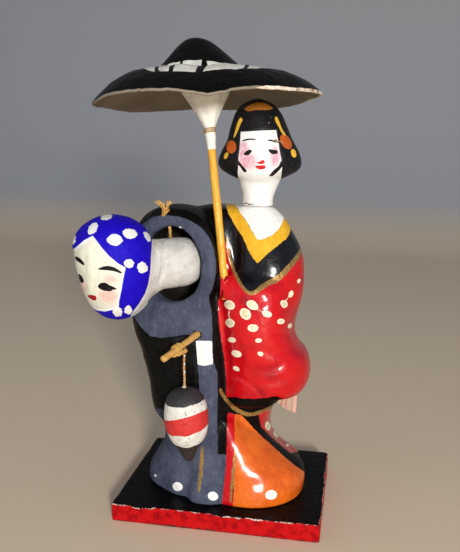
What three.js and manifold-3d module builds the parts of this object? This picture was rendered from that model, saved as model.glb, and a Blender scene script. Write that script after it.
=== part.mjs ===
// A papier-mache figure of two people who walk under one parasol, on a wooden board.
// Millimetres, +Z up. The origin is the middle of the board's underside, and -Y is the front.
import * as THREE from "three";
import { mergeVertices } from "three/addons/utils/BufferGeometryUtils.js";
import Module from "manifold-3d";

const wasm = await Module();
wasm.setup();

// The board
const boardWidth = 115;
const boardDepth = 91;
const boardHeight = 10;
const boardCorner = 2;

// The figures
const robeHeight = 162;
const womanHeadHeight = 56.5;
const womanHeadWidth = 44.4;
const manHeadHeight = 54.6;
const manHeadWidth = 44;
const neckPlugDepth = 5;
const neckPlugRadius = 7;

// The man's collar, and the hollow behind it
const collarWidth = 37;
const collarHeight = 41;
const collarBand = 7;
const collarThickness = 5;
const hollowDepth = 40;

// The parasol
const canopyRadius = 60.6;
const canopyRise = 14;
const crownRadius = 24;
const crownRise = 18.5;
const canopyWall = 2.4;
const poleRadius = 2.2;
const poleLength = 109;
const poleYellow = 70; // from the sleeve to the foot of the funnel
const poleSocketDepth = 8;
const funnelMouthRadius = 22;
const funnelRunOn = 8; // how far the cone runs on past the pole's head
const funnelNeckLength = 13;
const funnelNeckRadius = 2.9;
const bindingRadius = 0.7;

// The lantern
const lanternRadius = 11.6;
const lanternHeight = 40.5;
const lanternDrop = 20;
const rodRadius = 1.7;
const rodLength = 28;
const rodSocketDepth = 6;

// The cords and the paper at the sleeve
const cordRadius = 0.9;
const lanternCordRadius = 0.6;
const flapHeight = 16;
const flapThickness = 1;
const flapTuck = 3; // how deep it is stuck into the sleeve

// Clearances
const fitGap = 0.3; // between pieces that are glued or plugged together

const vec = (x, y, z) => new THREE.Vector3(x, y, z);

// A closed mesh as a solid, and back again.
function toSolid(geometry) {
  const bare = new THREE.BufferGeometry();
  bare.setAttribute("position", geometry.getAttribute("position"));
  bare.setIndex(geometry.getIndex());
  const merged = mergeVertices(bare, 1e-4);
  const mesh = new wasm.Mesh({
    numProp: 3,
    vertProperties: new Float32Array(merged.getAttribute("position").array),
    triVerts: new Uint32Array(merged.getIndex().array),
  });
  return new wasm.Manifold(mesh);
}

function toGeometry(solid) {
  const mesh = solid.getMesh();
  const positions = new Float32Array(mesh.numVert * 3);
  for (let i = 0; i < mesh.numVert; i++) {
    positions.set(mesh.vertProperties.subarray(i * mesh.numProp, i * mesh.numProp + 3), i * 3);
  }
  const geometry = new THREE.BufferGeometry();
  geometry.setAttribute("position", new THREE.BufferAttribute(positions, 3));
  geometry.setIndex(new THREE.BufferAttribute(new Uint32Array(mesh.triVerts), 1));
  geometry.computeVertexNormals();
  return geometry;
}

const join = (parts) => parts.map(toSolid).reduce((all, part) => all.add(part));
const cut = (solid, cutters) => cutters.map(toSolid).reduce((left, cutter) => left.subtract(cutter), solid);

// A row of a table at any place along it: a smooth curve through the rows, which start with that place.
function rowAt(rows, place) {
  let i = 1;
  while (i < rows.length - 1 && rows[i][0] < place) i++;
  const [a, b] = [rows[i - 1], rows[i]];
  const before = rows[Math.max(i - 2, 0)];
  const after = rows[Math.min(i + 1, rows.length - 1)];
  const step = b[0] - a[0];
  const t = (place - a[0]) / step;
  return a.map((value, k) => {
    const slopeA = ((b[k] - before[k]) / (b[0] - before[0])) * step;
    const slopeB = ((after[k] - a[k]) / (after[0] - a[0])) * step;
    const [t2, t3] = [t * t, t * t * t];
    return (
      value * (2 * t3 - 3 * t2 + 1) + slopeA * (t3 - 2 * t2 + t) + b[k] * (3 * t2 - 2 * t3) + slopeB * (t3 - t2)
    );
  });
}

// One point of an oval section. A squareness of 2 is an ellipse, and more fills out its corners.
function ovalPoint(angle, halfWidth, halfDepth, squareness = 2) {
  const [c, s] = [Math.cos(angle), Math.sin(angle)];
  const reach = (Math.abs(c) ** squareness + Math.abs(s) ** squareness) ** (-1 / squareness);
  return [halfWidth * reach * c, halfDepth * reach * s];
}

// A closed mesh through rings of points, with a fan over the first and the last ring.
function skin(rings) {
  const sides = rings[0].length;
  const points = rings.flat();
  const faces = [];
  for (let i = 0; i + 1 < rings.length; i++) {
    for (let j = 0; j < sides; j++) {
      const [a, b] = [i * sides + j, i * sides + ((j + 1) % sides)];
      faces.push(a, b, b + sides, a, b + sides, a + sides);
    }
  }
  for (const [ring, outwards] of [[0, false], [rings.length - 1, true]]) {
    const middle = new THREE.Vector3();
    rings[ring].forEach((point) => middle.addScaledVector(point, 1 / sides));
    const hub = points.push(middle) - 1;
    for (let j = 0; j < sides; j++) {
      const [a, b] = [ring * sides + j, ring * sides + ((j + 1) % sides)];
      faces.push(...(outwards ? [hub, a, b] : [hub, b, a]));
    }
  }
  const geometry = new THREE.BufferGeometry().setFromPoints(points);
  geometry.setIndex(faces);
  return geometry;
}

// A form carried up +Z through a table: place, middle x, middle y, half width, half depth, squareness.
function loft(rows, { sections = 12, sides = 20 } = {}) {
  const [first, last] = [rows[0][0], rows[rows.length - 1][0]];
  const rings = [];
  for (let i = 0; i <= sections; i++) {
    const place = first + ((last - first) * i) / sections;
    const [, x, y, halfWidth, halfDepth, squareness] = rowAt(rows, place);
    const ring = [];
    for (let j = 0; j < sides; j++) {
      const angle = (2 * Math.PI * j) / sides;
      const [dx, dy] = ovalPoint(angle, halfWidth, halfDepth, squareness);
      ring.push(vec(x + dx, y + dy, place));
    }
    rings.push(ring);
  }
  return skin(rings);
}

// The matrix that stands +Z along a direction at a place, with +X kept as level as it can be.
function standAlong(place, direction) {
  const along = direction.clone().normalize();
  const across = vec(0, 0, 1).cross(along);
  if (across.length() < 1e-6) across.set(1, 0, 0);
  across.normalize();
  const third = along.clone().cross(across);
  return new THREE.Matrix4().makeBasis(across, third, along).setPosition(place);
}

function rodBetween(start, end, radius, sides = 12) {
  const span = end.clone().sub(start);
  const geometry = new THREE.CylinderGeometry(radius, radius, span.length(), sides);
  geometry.rotateX(Math.PI / 2);
  geometry.translate(0, 0, span.length() / 2);
  return geometry.applyMatrix4(standAlong(start, span));
}

function ballAt(place, radius, stretch = vec(1, 1, 1)) {
  const geometry = new THREE.SphereGeometry(radius, 8, 6);
  geometry.scale(stretch.x, stretch.y, stretch.z);
  return geometry.translate(place.x, place.y, place.z);
}

// The robes' sections, from the top of the board, which are scaled to robeHeight together:
// height, middle x, middle y, half width, half depth, squareness
const manTrunk = [
  [0, -21.5, 3, 26.5, 28, 2.3],
  [8, -21, 3, 25.5, 27.5, 2.3],
  [17, -20, 2, 21.5, 27, 2.3],
  [27, -19, 1, 18, 26.8, 2.4],
  [42, -19.5, 0.5, 18, 27.3, 2.4],
  [60, -21.5, 0, 21, 28, 2.3],
  [80, -24.5, 0, 23.5, 29.6, 2.2],
  [94, -26.5, 0.5, 26, 30.9, 2.2],
  [103, -27.5, 2, 27, 29.5, 2.2],
  [110, -27.5, 3.5, 26.5, 26.5, 2.1],
  [118, -27, 5, 25, 23, 2],
  [130, -26, 5, 22, 17, 2],
  [146, -24, 5, 12, 9, 2],
];
const manSleeve = [
  [36, -25, -8, 6, 12, 2],
  [38.5, -25.6, -8, 8.6, 16.5, 2.3],
  [45, -28, -8, 12, 18.5, 2.5],
  [52, -29, -8, 13.2, 19.2, 2.6],
  [66, -30.6, -7.5, 13.8, 20, 2.6],
  [84, -34, -7, 15.6, 20.5, 2.6],
  [92, -37, -6.5, 15.6, 20.5, 2.6],
  [100, -39.6, -5.5, 14.8, 20, 2.4],
  [110, -41, -4, 13, 17, 2.2],
  [118, -39, -2, 9, 12, 2],
];
const manFrontPanel = [
  [0, -7, -12, 12.6, 25, 3],
  [6, -7, -12, 12.4, 23.2, 3],
  [16, -7.4, -11, 12.2, 20.6, 2.8],
  [34, -9, -10, 12.4, 18.8, 2.6],
  [60, -10, -10, 12.6, 19, 2.6],
  [84, -12, -9.5, 12.8, 19.6, 2.6],
  [100, -14, -8.5, 13.6, 19, 2.6],
  [108, -15, -8, 14, 17.8, 2.6],
  [114, -16, -7, 12.8, 15.4, 2.5],
  [119.5, -17.5, -5, 8.5, 9, 2.2],
];
const coatBetween = [
  [0, -2, 7, 24, 30, 2.2],
  [24, -2, 7, 18, 25, 2.2],
  [60, -3, 4, 18, 25, 2.3],
  [100, -5, 3, 18, 24.6, 2.4],
  [120, -6, 3.5, 18, 22.5, 2.4],
  [136, -6.5, 4.5, 18.6, 20.8, 2.4],
  [150, -6, 5, 19, 18.6, 2.4],
  [157, -6, 5, 17, 15.6, 2.3],
  [160.4, -6, 5, 13.6, 11.4, 2.2],
  [161.8, -6, 5, 8, 6, 2],
];
const womanTorso = [
  [56, 17, 3, 16, 20, 2],
  [80, 18, 0, 19, 22, 2],
  [92, 17.9, -0.5, 18.6, 21.8, 2],
  [100, 18.6, -1, 19, 21.5, 2],
  [108, 19.8, -1, 20, 21.5, 2],
  [120, 20.8, -1, 20.6, 21.4, 2],
  [131, 20.8, -1, 20.3, 20, 2],
  [140, 18.8, 0, 19.8, 18.4, 2],
  [148, 15.6, 0.5, 18.8, 16.8, 2],
  [154, 13.4, 1, 17.4, 14.2, 2],
  [158.4, 12.6, 1, 14.4, 10.8, 2],
  [162, 13.4, 1, 9, 8.4, 2],
];
const womanSleeves = [
  [58.5, 21, -6, 18, 18, 2.2],
  [60, 21.2, -6, 21, 21.4, 2.2],
  [66, 22.3, -6, 24, 23.4, 2.2],
  [74, 23, -6, 24, 24, 2.2],
  [82, 21.5, -6.5, 23, 24.4, 2.2],
  [88, 19.2, -7, 20.4, 24.2, 2.3],
  [94, 18, -7.5, 18.6, 23.8, 2.4],
  [104, 17, -8, 18.4, 22.6, 2.6],
  [112, 16, -9, 18.6, 20.4, 2.8],
  [119, 15, -9.5, 18.2, 18, 3],
  [123.5, 14.4, -9, 16, 15.8, 2.8],
  [129, 14.5, -7.5, 12, 12, 2.4],
];
const coatTuck = [
  [51.5, 14, -4, 12, 16, 2],
  [54, 14.5, -4.5, 16, 20.5, 2.2],
  [60, 15, -5, 17, 22, 2.2],
  [68, 16, -5, 15, 18, 2],
];
const orangeSkirt = [
  [0, 14, -5, 31, 31, 2.1],
  [8, 14.5, -5, 31.5, 29.5, 2.1],
  [13, 13.5, -5, 31, 28, 2.1],
  [18, 11, -6, 27.5, 26.4, 2.1],
  [24, 8.2, -6, 21.4, 24.6, 2.1],
  [33, 5, -6, 14.6, 22, 2.1],
  [44, 2, -5, 6, 19, 2],
];
const backSkirt = [
  [0, 14, 14, 27.5, 29, 2.8],
  [6, 13.4, 14, 27.2, 28, 2.8],
  [11, 12.6, 13, 22.6, 26.4, 2.6],
  [17, 11.4, 12, 17.4, 25, 2.4],
  [25, 10.4, 11, 13.6, 23.6, 2.2],
  [34, 10, 9, 13, 22.6, 2.2],
  [45, 11, 7, 14.5, 22, 2.2],
  [62, 15, 4, 17, 21, 2.2],
];
// Along the man's bent back, from behind him to his collar: place, across, up, half width, half height
const bentBack = [
  [-49, -1, -2, 8, 9, 2],
  [-46, -1.5, -1.5, 15.5, 16.5, 2],
  [-41, -2.5, -1, 22, 22.8, 2],
  [-31, -4, -0.5, 25.5, 28, 2.2],
  [-19, -5, 0, 26, 31, 2.5],
  [-8, -4.2, 0, 27, 31, 2.7],
  [-1.5, -2.2, 0, 27.4, 29.2, 2.6],
];

// The tables run up to the last row of womanTorso, where her neck stands.
const robeScale = robeHeight / womanTorso[womanTorso.length - 1][0];
const robePoint = (x, y, z) => vec(x, y, z).multiplyScalar(robeScale).add(vec(0, 0, boardHeight));

const collarMiddle = robePoint(-28.5, -18, 130.5);
const collarFacing = vec(-0.34, -0.94, 0).normalize();
const collarStand = standAlong(collarMiddle, collarFacing);
const neckSeat = vec(14.3 * robeScale, robeScale, boardHeight + robeHeight);
const flapPlace = robePoint(32.5, 4, 58.5);

// The collar's own sizes are free of the robe's, so its hollow and its band share these half sizes.
const [holeHalfWidth, holeHalfHeight] = [collarWidth / 2, collarHeight / 2];

function collarBandForm() {
  const ring = new THREE.TorusGeometry(1, 0.5, 8, 24);
  const positions = ring.getAttribute("position");
  for (let i = 0; i < positions.count; i++) {
    const [x, y] = [positions.getX(i), positions.getY(i)];
    const far = Math.hypot(x, y);
    const [out, along] = ovalPoint(Math.atan2(positions.getZ(i), far - 1), collarBand / 2, collarThickness / 2, 3);
    positions.setX(i, (x / far) * (holeHalfWidth + out + collarBand / 2));
    positions.setY(i, (y / far) * (holeHalfHeight + out + collarBand / 2));
    positions.setZ(i, along);
  }
  return ring.applyMatrix4(collarStand);
}

function collarHollow() {
  const rows = [
    [-hollowDepth, 0, 0, holeHalfWidth * 0.3, holeHalfHeight * 0.3, 2],
    [-hollowDepth * 0.92, 0, 0, holeHalfWidth * 0.8, holeHalfHeight * 0.8, 2],
    [-hollowDepth * 0.7, 0, 0, holeHalfWidth * 1.16, holeHalfHeight * 1.08, 2],
    [-hollowDepth * 0.4, 0, 0, holeHalfWidth * 1.24, holeHalfHeight * 1.12, 2],
    [-hollowDepth * 0.12, 0, 0, holeHalfWidth * 1.06, holeHalfHeight * 1.03, 2],
    [0, 0, 0, holeHalfWidth, holeHalfHeight, 2],
    [collarThickness * 3, 0, 0, holeHalfWidth, holeHalfHeight, 2],
  ];
  return loft(rows, { sections: 9, sides: 24 }).applyMatrix4(collarStand);
}

// The parasol's pole, from its end in the woman's sleeve up to the neck of the funnel
const poleFoot = robePoint(0.7, -22, 121.4);
const poleHead = poleFoot.clone().add(vec(-9.6, 9, 72.6).setLength(poleLength));
const poleLine = poleHead.clone().sub(poleFoot).normalize();
const poleStart = poleFoot.clone().addScaledVector(poleLine, -poleSocketDepth);

// The lantern's rod, from the man's robe to its tip, and the place where the lantern's cord hangs beside it
const rodFoot = robePoint(-13.8, -29, 93.9);
const rodLine = vec(-11.1, -25, -6.4).normalize();
const rodStart = rodFoot.clone().addScaledVector(rodLine, -rodSocketDepth);
const rodTip = rodFoot.clone().addScaledVector(rodLine, rodLength);
const wrapPlace = rodFoot.clone().addScaledVector(rodLine, rodLength * 0.56);
const hangingPoint = wrapPlace.clone().add(vec(3.7, 0, -1.2));

// The man's head, with its neck in the collar, and the cord from the neck to its knot on top of the collar
const fromCollar = (x, y, z) => collarMiddle.clone().add(vec(x, y, z));
const manHeadMiddle = fromCollar(-27, -20.5, 0.6);
const manNeckEnd = fromCollar(13, 10.5, 1);
const manNeckRadius = manHeadHeight * 0.25;
const manNeckLine = manHeadMiddle.clone().sub(manNeckEnd).normalize();
const cordFoot = fromCollar(-1.5, -0.6, manNeckRadius + 0.9);
const cordKnot = fromCollar(-4.5, 0.8, holeHalfHeight + collarBand + cordRadius);

function robes() {
  const upright = [
    [manTrunk, 12],
    [manSleeve, 9],
    [manFrontPanel, 8],
    [coatBetween, 9],
    [womanTorso, 10],
    [womanSleeves, 13],
    [coatTuck, 3],
    [orangeSkirt, 8],
    [backSkirt, 7],
  ];
  const forms = upright.map(([rows, sections]) => {
    const geometry = loft(rows, { sections });
    geometry.scale(robeScale, robeScale, robeScale);
    return geometry.translate(0, 0, boardHeight);
  });
  const back = loft(bentBack, { sections: 9, sides: 24 });
  forms.push(back.scale(robeScale, robeScale, robeScale).applyMatrix4(collarStand));
  forms.push(collarBandForm());
  const neckHole = new THREE.CylinderGeometry(neckPlugRadius + fitGap, neckPlugRadius + fitGap, 2 * neckPlugDepth, 16);
  neckHole.rotateX(Math.PI / 2).translate(neckSeat.x, neckSeat.y, neckSeat.z);
  const cutters = [
    collarHollow(),
    neckHole,
    rodBetween(poleStart.clone().addScaledVector(poleLine, -fitGap), poleHead, poleRadius + fitGap, 12),
    rodBetween(rodStart.clone().addScaledVector(rodLine, -fitGap), rodTip, rodRadius + fitGap, 10),
    cordTube(cordRadius + fitGap),
    sleeveFlap(fitGap),
  ];
  return toGeometry(cut(join(forms), cutters));
}

// The woman's head, hair and neck, in shares of the head's height and half width:
// height, middle x, middle y, half width, half depth, squareness
const womanHeadForm = [
  [0, 0, 0, 0.36, 0.36, 2],
  [0.12, 0.01, -0.02, 0.39, 0.38, 2],
  [0.22, 0.02, -0.04, 0.47, 0.46, 2],
  [0.265, 0.03, -0.04, 0.55, 0.58, 2],
  [0.3, 0.03, 0, 0.72, 0.7, 2],
  [0.35, 0.04, 0.02, 0.93, 0.78, 2.1],
  [0.41, 0.04, 0.02, 1, 0.83, 2.1],
  [0.51, 0.04, 0.02, 0.93, 0.83, 2.1],
  [0.62, 0.03, 0.02, 0.78, 0.79, 2.1],
  [0.75, 0, 0.02, 0.66, 0.71, 2.1],
  [0.87, -0.02, 0.02, 0.53, 0.58, 2.1],
  [0.95, -0.03, 0.02, 0.36, 0.4, 2.1],
  [1, -0.04, 0.02, 0.1, 0.1, 2],
];

function womanHead() {
  const half = womanHeadWidth / 2;
  const rows = womanHeadForm.map(([z, x, y, w, d, square]) => [
    z * womanHeadHeight,
    x * half,
    y * half,
    w * half,
    d * half,
    square,
  ]);
  const form = loft(rows, { sections: 16, sides: 20 });
  const plug = new THREE.CylinderGeometry(neckPlugRadius, neckPlugRadius, 2 * neckPlugDepth - 2 * fitGap, 16);
  plug.rotateX(Math.PI / 2);
  const geometry = toGeometry(join([form, plug]));
  return geometry.translate(neckSeat.x, neckSeat.y, neckSeat.z + fitGap);
}

// The man's head, an egg that stands on its small end, in shares of its height and half width
const manHeadForm = [
  [0, 0.1, 0.02, 0.12, 0.12, 2],
  [0.05, 0.09, 0.02, 0.42, 0.4, 2],
  [0.15, 0.07, 0.02, 0.68, 0.64, 2],
  [0.3, 0.04, 0.01, 0.87, 0.82, 2],
  [0.48, 0.01, 0, 0.97, 0.9, 2],
  [0.65, 0, 0, 1, 0.93, 2],
  [0.8, 0, 0, 0.87, 0.84, 2],
  [0.9, 0, 0, 0.68, 0.66, 2],
  [0.97, 0, 0, 0.4, 0.4, 2],
  [1, 0, 0, 0.12, 0.12, 2],
];

function manHead() {
  const half = manHeadWidth / 2;
  const rows = manHeadForm.map(([z, x, y, w, d, square]) => [
    z * manHeadHeight,
    x * half,
    y * half,
    w * half,
    d * half,
    square,
  ]);
  const egg = loft(rows, { sections: 11, sides: 20 });
  egg.translate(manHeadMiddle.x, manHeadMiddle.y, manHeadMiddle.z - manHeadHeight / 2);
  const reach = manHeadMiddle.distanceTo(manNeckEnd);
  const neckRows = [
    [0, 0, 0, 0.2, 0.2, 2],
    [0.02, 0, 0, 0.5, 0.5, 2],
    [0.08, 0, 0, 0.8, 0.8, 2],
    [0.18, 0, 0, 0.97, 0.97, 2],
    [0.32, 0, 0, 1, 1, 2],
    [0.48, 0, -0.02, 0.98, 1, 2],
    [0.6, 0, -0.12, 1, 1.12, 2],
    [0.75, 0, -0.2, 1.08, 1.35, 2],
    [1, 0, -0.1, 0.9, 1.2, 2],
  ].map(([z, x, y, w, d, square]) => [
    z * reach,
    x * manNeckRadius,
    y * manNeckRadius,
    w * manNeckRadius,
    d * manNeckRadius,
    square,
  ]);
  const neck = loft(neckRows, { sections: 8, sides: 18 });
  neck.applyMatrix4(standAlong(manNeckEnd, manNeckLine));
  return toGeometry(join([egg, neck]));
}

// The cord that holds the man's head, from his neck up through the coat behind the collar band
function cordTube(radius) {
  const points = [
    cordFoot.clone().add(vec(0, 0, fitGap)),
    cordFoot.clone().lerp(cordKnot, 0.35).add(vec(0, 2, 0)),
    cordFoot.clone().lerp(cordKnot, 0.7).add(vec(0, 2, 0)),
    cordKnot,
  ];
  const section = new THREE.Shape().absarc(0, 0, radius, 0, 2 * Math.PI, false);
  return new THREE.ExtrudeGeometry(section, {
    steps: 7,
    curveSegments: 4,
    extrudePath: new THREE.CatmullRomCurve3(points),
  });
}

function headCord() {
  const ends = [vec(-4.8, -1.5, 4.8), vec(2.4, -1, 5.4)];
  const tails = ends.map((end) => rodBetween(cordKnot, cordKnot.clone().add(end), cordRadius * 1.3, 6));
  return toGeometry(join([cordTube(cordRadius), ballAt(cordKnot, cordRadius * 2, vec(1.1, 1, 1)), ...tails]));
}

// The canopy: a dome with a crown, drawn as rings from its peak down the outside and back up the inside
const canopyMiddle = vec(poleHead.x + 1.2, poleHead.y + 0.9, poleHead.z - 10.5);
const canopyTilt = new THREE.Euler(THREE.MathUtils.degToRad(-2.4), THREE.MathUtils.degToRad(-2.6), 0);
const crownShift = -5.9; // the crown sits a little off the middle

// Height of the canopy's outside over its rim, at a distance from the middle
function canopyHeight(distance) {
  const brim = canopyRise * (1 - ((distance - crownRadius) / (canopyRadius - crownRadius)) ** 2.8);
  const crown = canopyRise + crownRise * Math.cos((Math.PI / 2) * Math.min(distance / crownRadius, 1)) ** 1.1;
  return distance > crownRadius ? brim : crown;
}

// Height of the rim over its own plane by degrees: it droops at the front
const rimRows = [
  [-180, -0.1],
  [-152, -1.3],
  [-125, 0.7],
  [-96, -0.3],
  [-78, -3],
  [-60, 0],
  [-30, 0.2],
  [11, 2],
  [30, 2],
  [56, 0.1],
  [85, 1],
  [110, 2.2],
  [150, -0.5],
  [180, -0.1],
];

// A shell of the canopy's form, between two drops under its outside
function canopyShell(outerDrop, innerDrop) {
  const [sides, steps] = [32, 9];
  const rings = [];
  const addRing = (distance, drop) => {
    const middle = crownShift * (1 - distance / canopyRadius);
    const lift = canopyHeight(distance) - drop;
    const ring = [];
    for (let j = 0; j < sides; j++) {
      const angle = (2 * Math.PI * j) / sides;
      const degrees = THREE.MathUtils.euclideanModulo(THREE.MathUtils.radToDeg(angle) + 180, 360) - 180;
      const wave = rowAt(rimRows, degrees)[1] * (distance / canopyRadius) ** 2.8;
      ring.push(vec(middle + distance * Math.cos(angle), distance * Math.sin(angle), lift + wave));
    }
    rings.push(ring);
  };
  const distances = Array.from({ length: steps }, (_, i) => canopyRadius * ((i + 0.3) / (steps - 0.7)));
  distances.forEach((distance) => addRing(distance, outerDrop));
  distances.reverse().forEach((distance) => addRing(distance, innerDrop));
  const geometry = skin(rings.reverse());
  geometry.applyMatrix4(new THREE.Matrix4().makeRotationFromEuler(canopyTilt));
  return geometry.translate(canopyMiddle.x, canopyMiddle.y, canopyMiddle.z);
}

const canopy = () => canopyShell(0, canopyWall);

// The paper funnel round the pole: a narrow neck, and a cone from the binding to the canopy's underside
const funnelFoot = poleFoot.clone().addScaledVector(poleLine, poleYellow);
const bindingPlace = funnelFoot.clone().addScaledVector(poleLine, funnelNeckLength - 3 * bindingRadius);
const funnelHeight = poleLength - poleYellow + funnelRunOn;

function funnel() {
  const bore = poleRadius + fitGap;
  const coneHeight = funnelHeight - funnelNeckLength;
  const outline = [[bore, 0], [funnelNeckRadius, 0], [funnelNeckRadius, funnelNeckLength]];
  for (let i = 1; i <= 4; i++) {
    const share = i / 4;
    const radius = funnelNeckRadius + (funnelMouthRadius - funnelNeckRadius) * share ** 1.15;
    outline.push([radius, funnelNeckLength + coneHeight * share]);
  }
  outline.push([bore, funnelHeight], [bore, 0]);
  const geometry = new THREE.LatheGeometry(outline.map(([r, z]) => new THREE.Vector2(r, z)), 16);
  geometry.rotateX(Math.PI / 2).applyMatrix4(standAlong(funnelFoot, poleLine));
  return toGeometry(cut(toSolid(geometry), [canopyShell(-crownRise, canopyWall + fitGap)]));
}

function binding() {
  const rings = [-1, 1].map((side) => {
    const ring = new THREE.TorusGeometry(funnelNeckRadius + fitGap + bindingRadius, bindingRadius, 6, 14);
    return ring.rotateX(0.1 * side).translate(0, 0, side * bindingRadius * 0.8);
  });
  const tail = ballAt(vec(0, -funnelNeckRadius - fitGap - bindingRadius, 0), bindingRadius * 1.5);
  tail.translate(0, -bindingRadius * 0.6, 0);
  const geometry = toGeometry(join([...rings, tail]));
  return geometry.applyMatrix4(standAlong(bindingPlace, poleLine));
}

// The lantern's rod, with a strip of paper twisted round it and out beside it, where the cord hangs
function lanternRod() {
  const wrap = new THREE.SphereGeometry(1, 10, 8);
  wrap.scale(rodRadius * 1.7, rodRadius * 1.6, rodRadius * 1.9);
  wrap.applyMatrix4(standAlong(wrapPlace, rodLine));
  const strips = [
    rodBetween(wrapPlace.clone().add(vec(-5, -1, -3.4)), hangingPoint, rodRadius * 0.62, 6),
    ballAt(hangingPoint, rodRadius * 0.9),
  ];
  return toGeometry(join([rodBetween(rodStart, rodTip, rodRadius, 10), wrap, ...strips]));
}

const lanternTop = hangingPoint.clone().add(vec(0, 0, -lanternDrop));
const lanternCordTop = hangingPoint.clone().add(vec(0, 0, -rodRadius * 0.9 - fitGap));

function lanternCord() {
  return rodBetween(lanternTop.clone().add(vec(0, 0, fitGap)), lanternCordTop, lanternCordRadius, 6);
}

// The lantern, in shares of its radius and its height, from its tip up
const lanternForm = [
  [0, 0],
  [0.13, 0.004],
  [0.25, 0.05],
  [0.35, 0.115],
  [0.44, 0.17],
  [0.63, 0.25],
  [0.82, 0.34],
  [0.96, 0.46],
  [1, 0.6],
  [0.95, 0.77],
  [0.79, 0.9],
  [0.46, 0.982],
  [0, 1],
];

function lantern() {
  const outline = lanternForm.map(([r, z]) => new THREE.Vector2(r * lanternRadius, (z - 1) * lanternHeight));
  const geometry = new THREE.LatheGeometry(outline, 18);
  geometry.rotateX(Math.PI / 2);
  geometry.rotateY(THREE.MathUtils.degToRad(-4));
  return geometry.translate(lanternTop.x, lanternTop.y, lanternTop.z);
}

// The stiff paper end of the woman's sleeve, a sheet whose top is stuck into it
function sleeveFlap(grown = 0) {
  const outline = [[-6.8, flapTuck], [-6.8, -8.8], [0.2, -12], [7, -13], [7.8, flapTuck]];
  const [wide, high] = [1 + grown / 7, (flapHeight / 13) * (1 + grown / 7)];
  const sheet = new THREE.Shape(outline.map(([x, z]) => new THREE.Vector2(x * wide, z * high)));
  const depth = flapThickness + 2 * grown;
  const geometry = new THREE.ExtrudeGeometry(sheet, { depth, bevelEnabled: false });
  geometry.translate(0, 0, -depth / 2).rotateX(Math.PI / 2).rotateZ(-0.3);
  return geometry.translate(flapPlace.x, flapPlace.y, flapPlace.z);
}

const group = new THREE.Group();

function paint(color, roughness) {
  return new THREE.MeshStandardMaterial({ color, roughness, metalness: 0 });
}

function addPiece(name, geometry, material) {
  const mesh = new THREE.Mesh(geometry, material);
  mesh.name = name;
  group.add(mesh);
}

function board() {
  const [w, d, r] = [boardWidth / 2, boardDepth / 2, boardCorner];
  const outline = new THREE.Shape();
  outline.absarc(w - r, d - r, r, 0, Math.PI / 2, false);
  outline.absarc(r - w, d - r, r, Math.PI / 2, Math.PI, false);
  outline.absarc(r - w, r - d, r, Math.PI, 1.5 * Math.PI, false);
  outline.absarc(w - r, r - d, r, 1.5 * Math.PI, 2 * Math.PI, false);
  return new THREE.ExtrudeGeometry(outline, { depth: boardHeight, bevelEnabled: false, curveSegments: 3 });
}

addPiece("board", board(), paint(0xc8201c, 0.5));
addPiece("robes", robes(), paint(0x4a5068, 0.5));
addPiece("woman_head", womanHead(), paint(0xf2efe8, 0.5));
addPiece("man_head", manHead(), paint(0xe8e4d6, 0.5));
addPiece("head_cord", headCord(), paint(0xb07a30, 0.9));
addPiece("parasol_canopy", canopy(), paint(0x18181a, 0.4));
addPiece("parasol_funnel", funnel(), paint(0xf0eee8, 0.6));
addPiece("parasol_binding", binding(), paint(0xb08030, 0.8));
addPiece("parasol_pole", rodBetween(poleStart, poleHead, poleRadius, 12), paint(0xe0a818, 0.5));
addPiece("lantern_rod", lanternRod(), paint(0xc8962c, 0.7));
addPiece("lantern_cord", lanternCord(), paint(0xb89a58, 0.9));
addPiece("lantern", lantern(), paint(0xe8e2d4, 0.7));
addPiece("sleeve_flap", sleeveFlap(), paint(0xc8a890, 0.7));

export default group;
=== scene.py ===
import math

import bpy
import numpy as np
from mathutils import Matrix


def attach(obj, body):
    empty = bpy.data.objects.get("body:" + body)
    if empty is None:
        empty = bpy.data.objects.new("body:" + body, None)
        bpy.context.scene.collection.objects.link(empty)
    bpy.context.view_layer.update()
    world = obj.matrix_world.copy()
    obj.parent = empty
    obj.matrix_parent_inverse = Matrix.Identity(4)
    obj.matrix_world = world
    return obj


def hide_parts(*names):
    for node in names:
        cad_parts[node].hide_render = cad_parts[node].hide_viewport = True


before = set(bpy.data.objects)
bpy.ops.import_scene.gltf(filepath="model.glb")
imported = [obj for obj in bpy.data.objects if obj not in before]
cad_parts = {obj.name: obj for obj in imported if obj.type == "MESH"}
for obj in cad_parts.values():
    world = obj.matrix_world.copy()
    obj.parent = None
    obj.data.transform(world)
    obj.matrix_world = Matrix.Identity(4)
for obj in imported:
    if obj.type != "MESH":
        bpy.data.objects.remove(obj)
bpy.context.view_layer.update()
print("frame loaded")

# All forms below are in millimetres in the frame of the object, and metres in Blender.
mm = 0.001
boardTop = 10.0
# The place that the painted sides are drawn from, and its sheet, the plane y = 0
viewPlace = np.array([69.9, -385.4, 207.5])
viewTurn = {"yaw": 10.34, "pitch": 10.93, "roll": 0.70, "lens": 45.98}

# Tools for forms


# Rows of a table at any places along it: the smooth curve through the rows, as in the part's source.
def rowsAt(rows, places):
    rows = np.asarray(rows, float)
    seat = np.clip(np.searchsorted(rows[:, 0], places, side="right"), 1, len(rows) - 1)
    a, b = rows[seat - 1], rows[seat]
    before = rows[np.maximum(seat - 2, 0)]
    after = rows[np.minimum(seat + 1, len(rows) - 1)]
    step = (b[:, :1] - a[:, :1])
    t = (np.asarray(places)[:, None] - a[:, :1]) / step
    slopeA = (b - before) / (b[:, :1] - before[:, :1]) * step
    slopeB = (after - a) / (after[:, :1] - a[:, :1]) * step
    t2, t3 = t * t, t * t * t
    return a * (2 * t3 - 3 * t2 + 1) + slopeA * (t3 - 2 * t2 + t) + b * (3 * t2 - 2 * t3) + slopeB * (t3 - t2)


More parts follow.
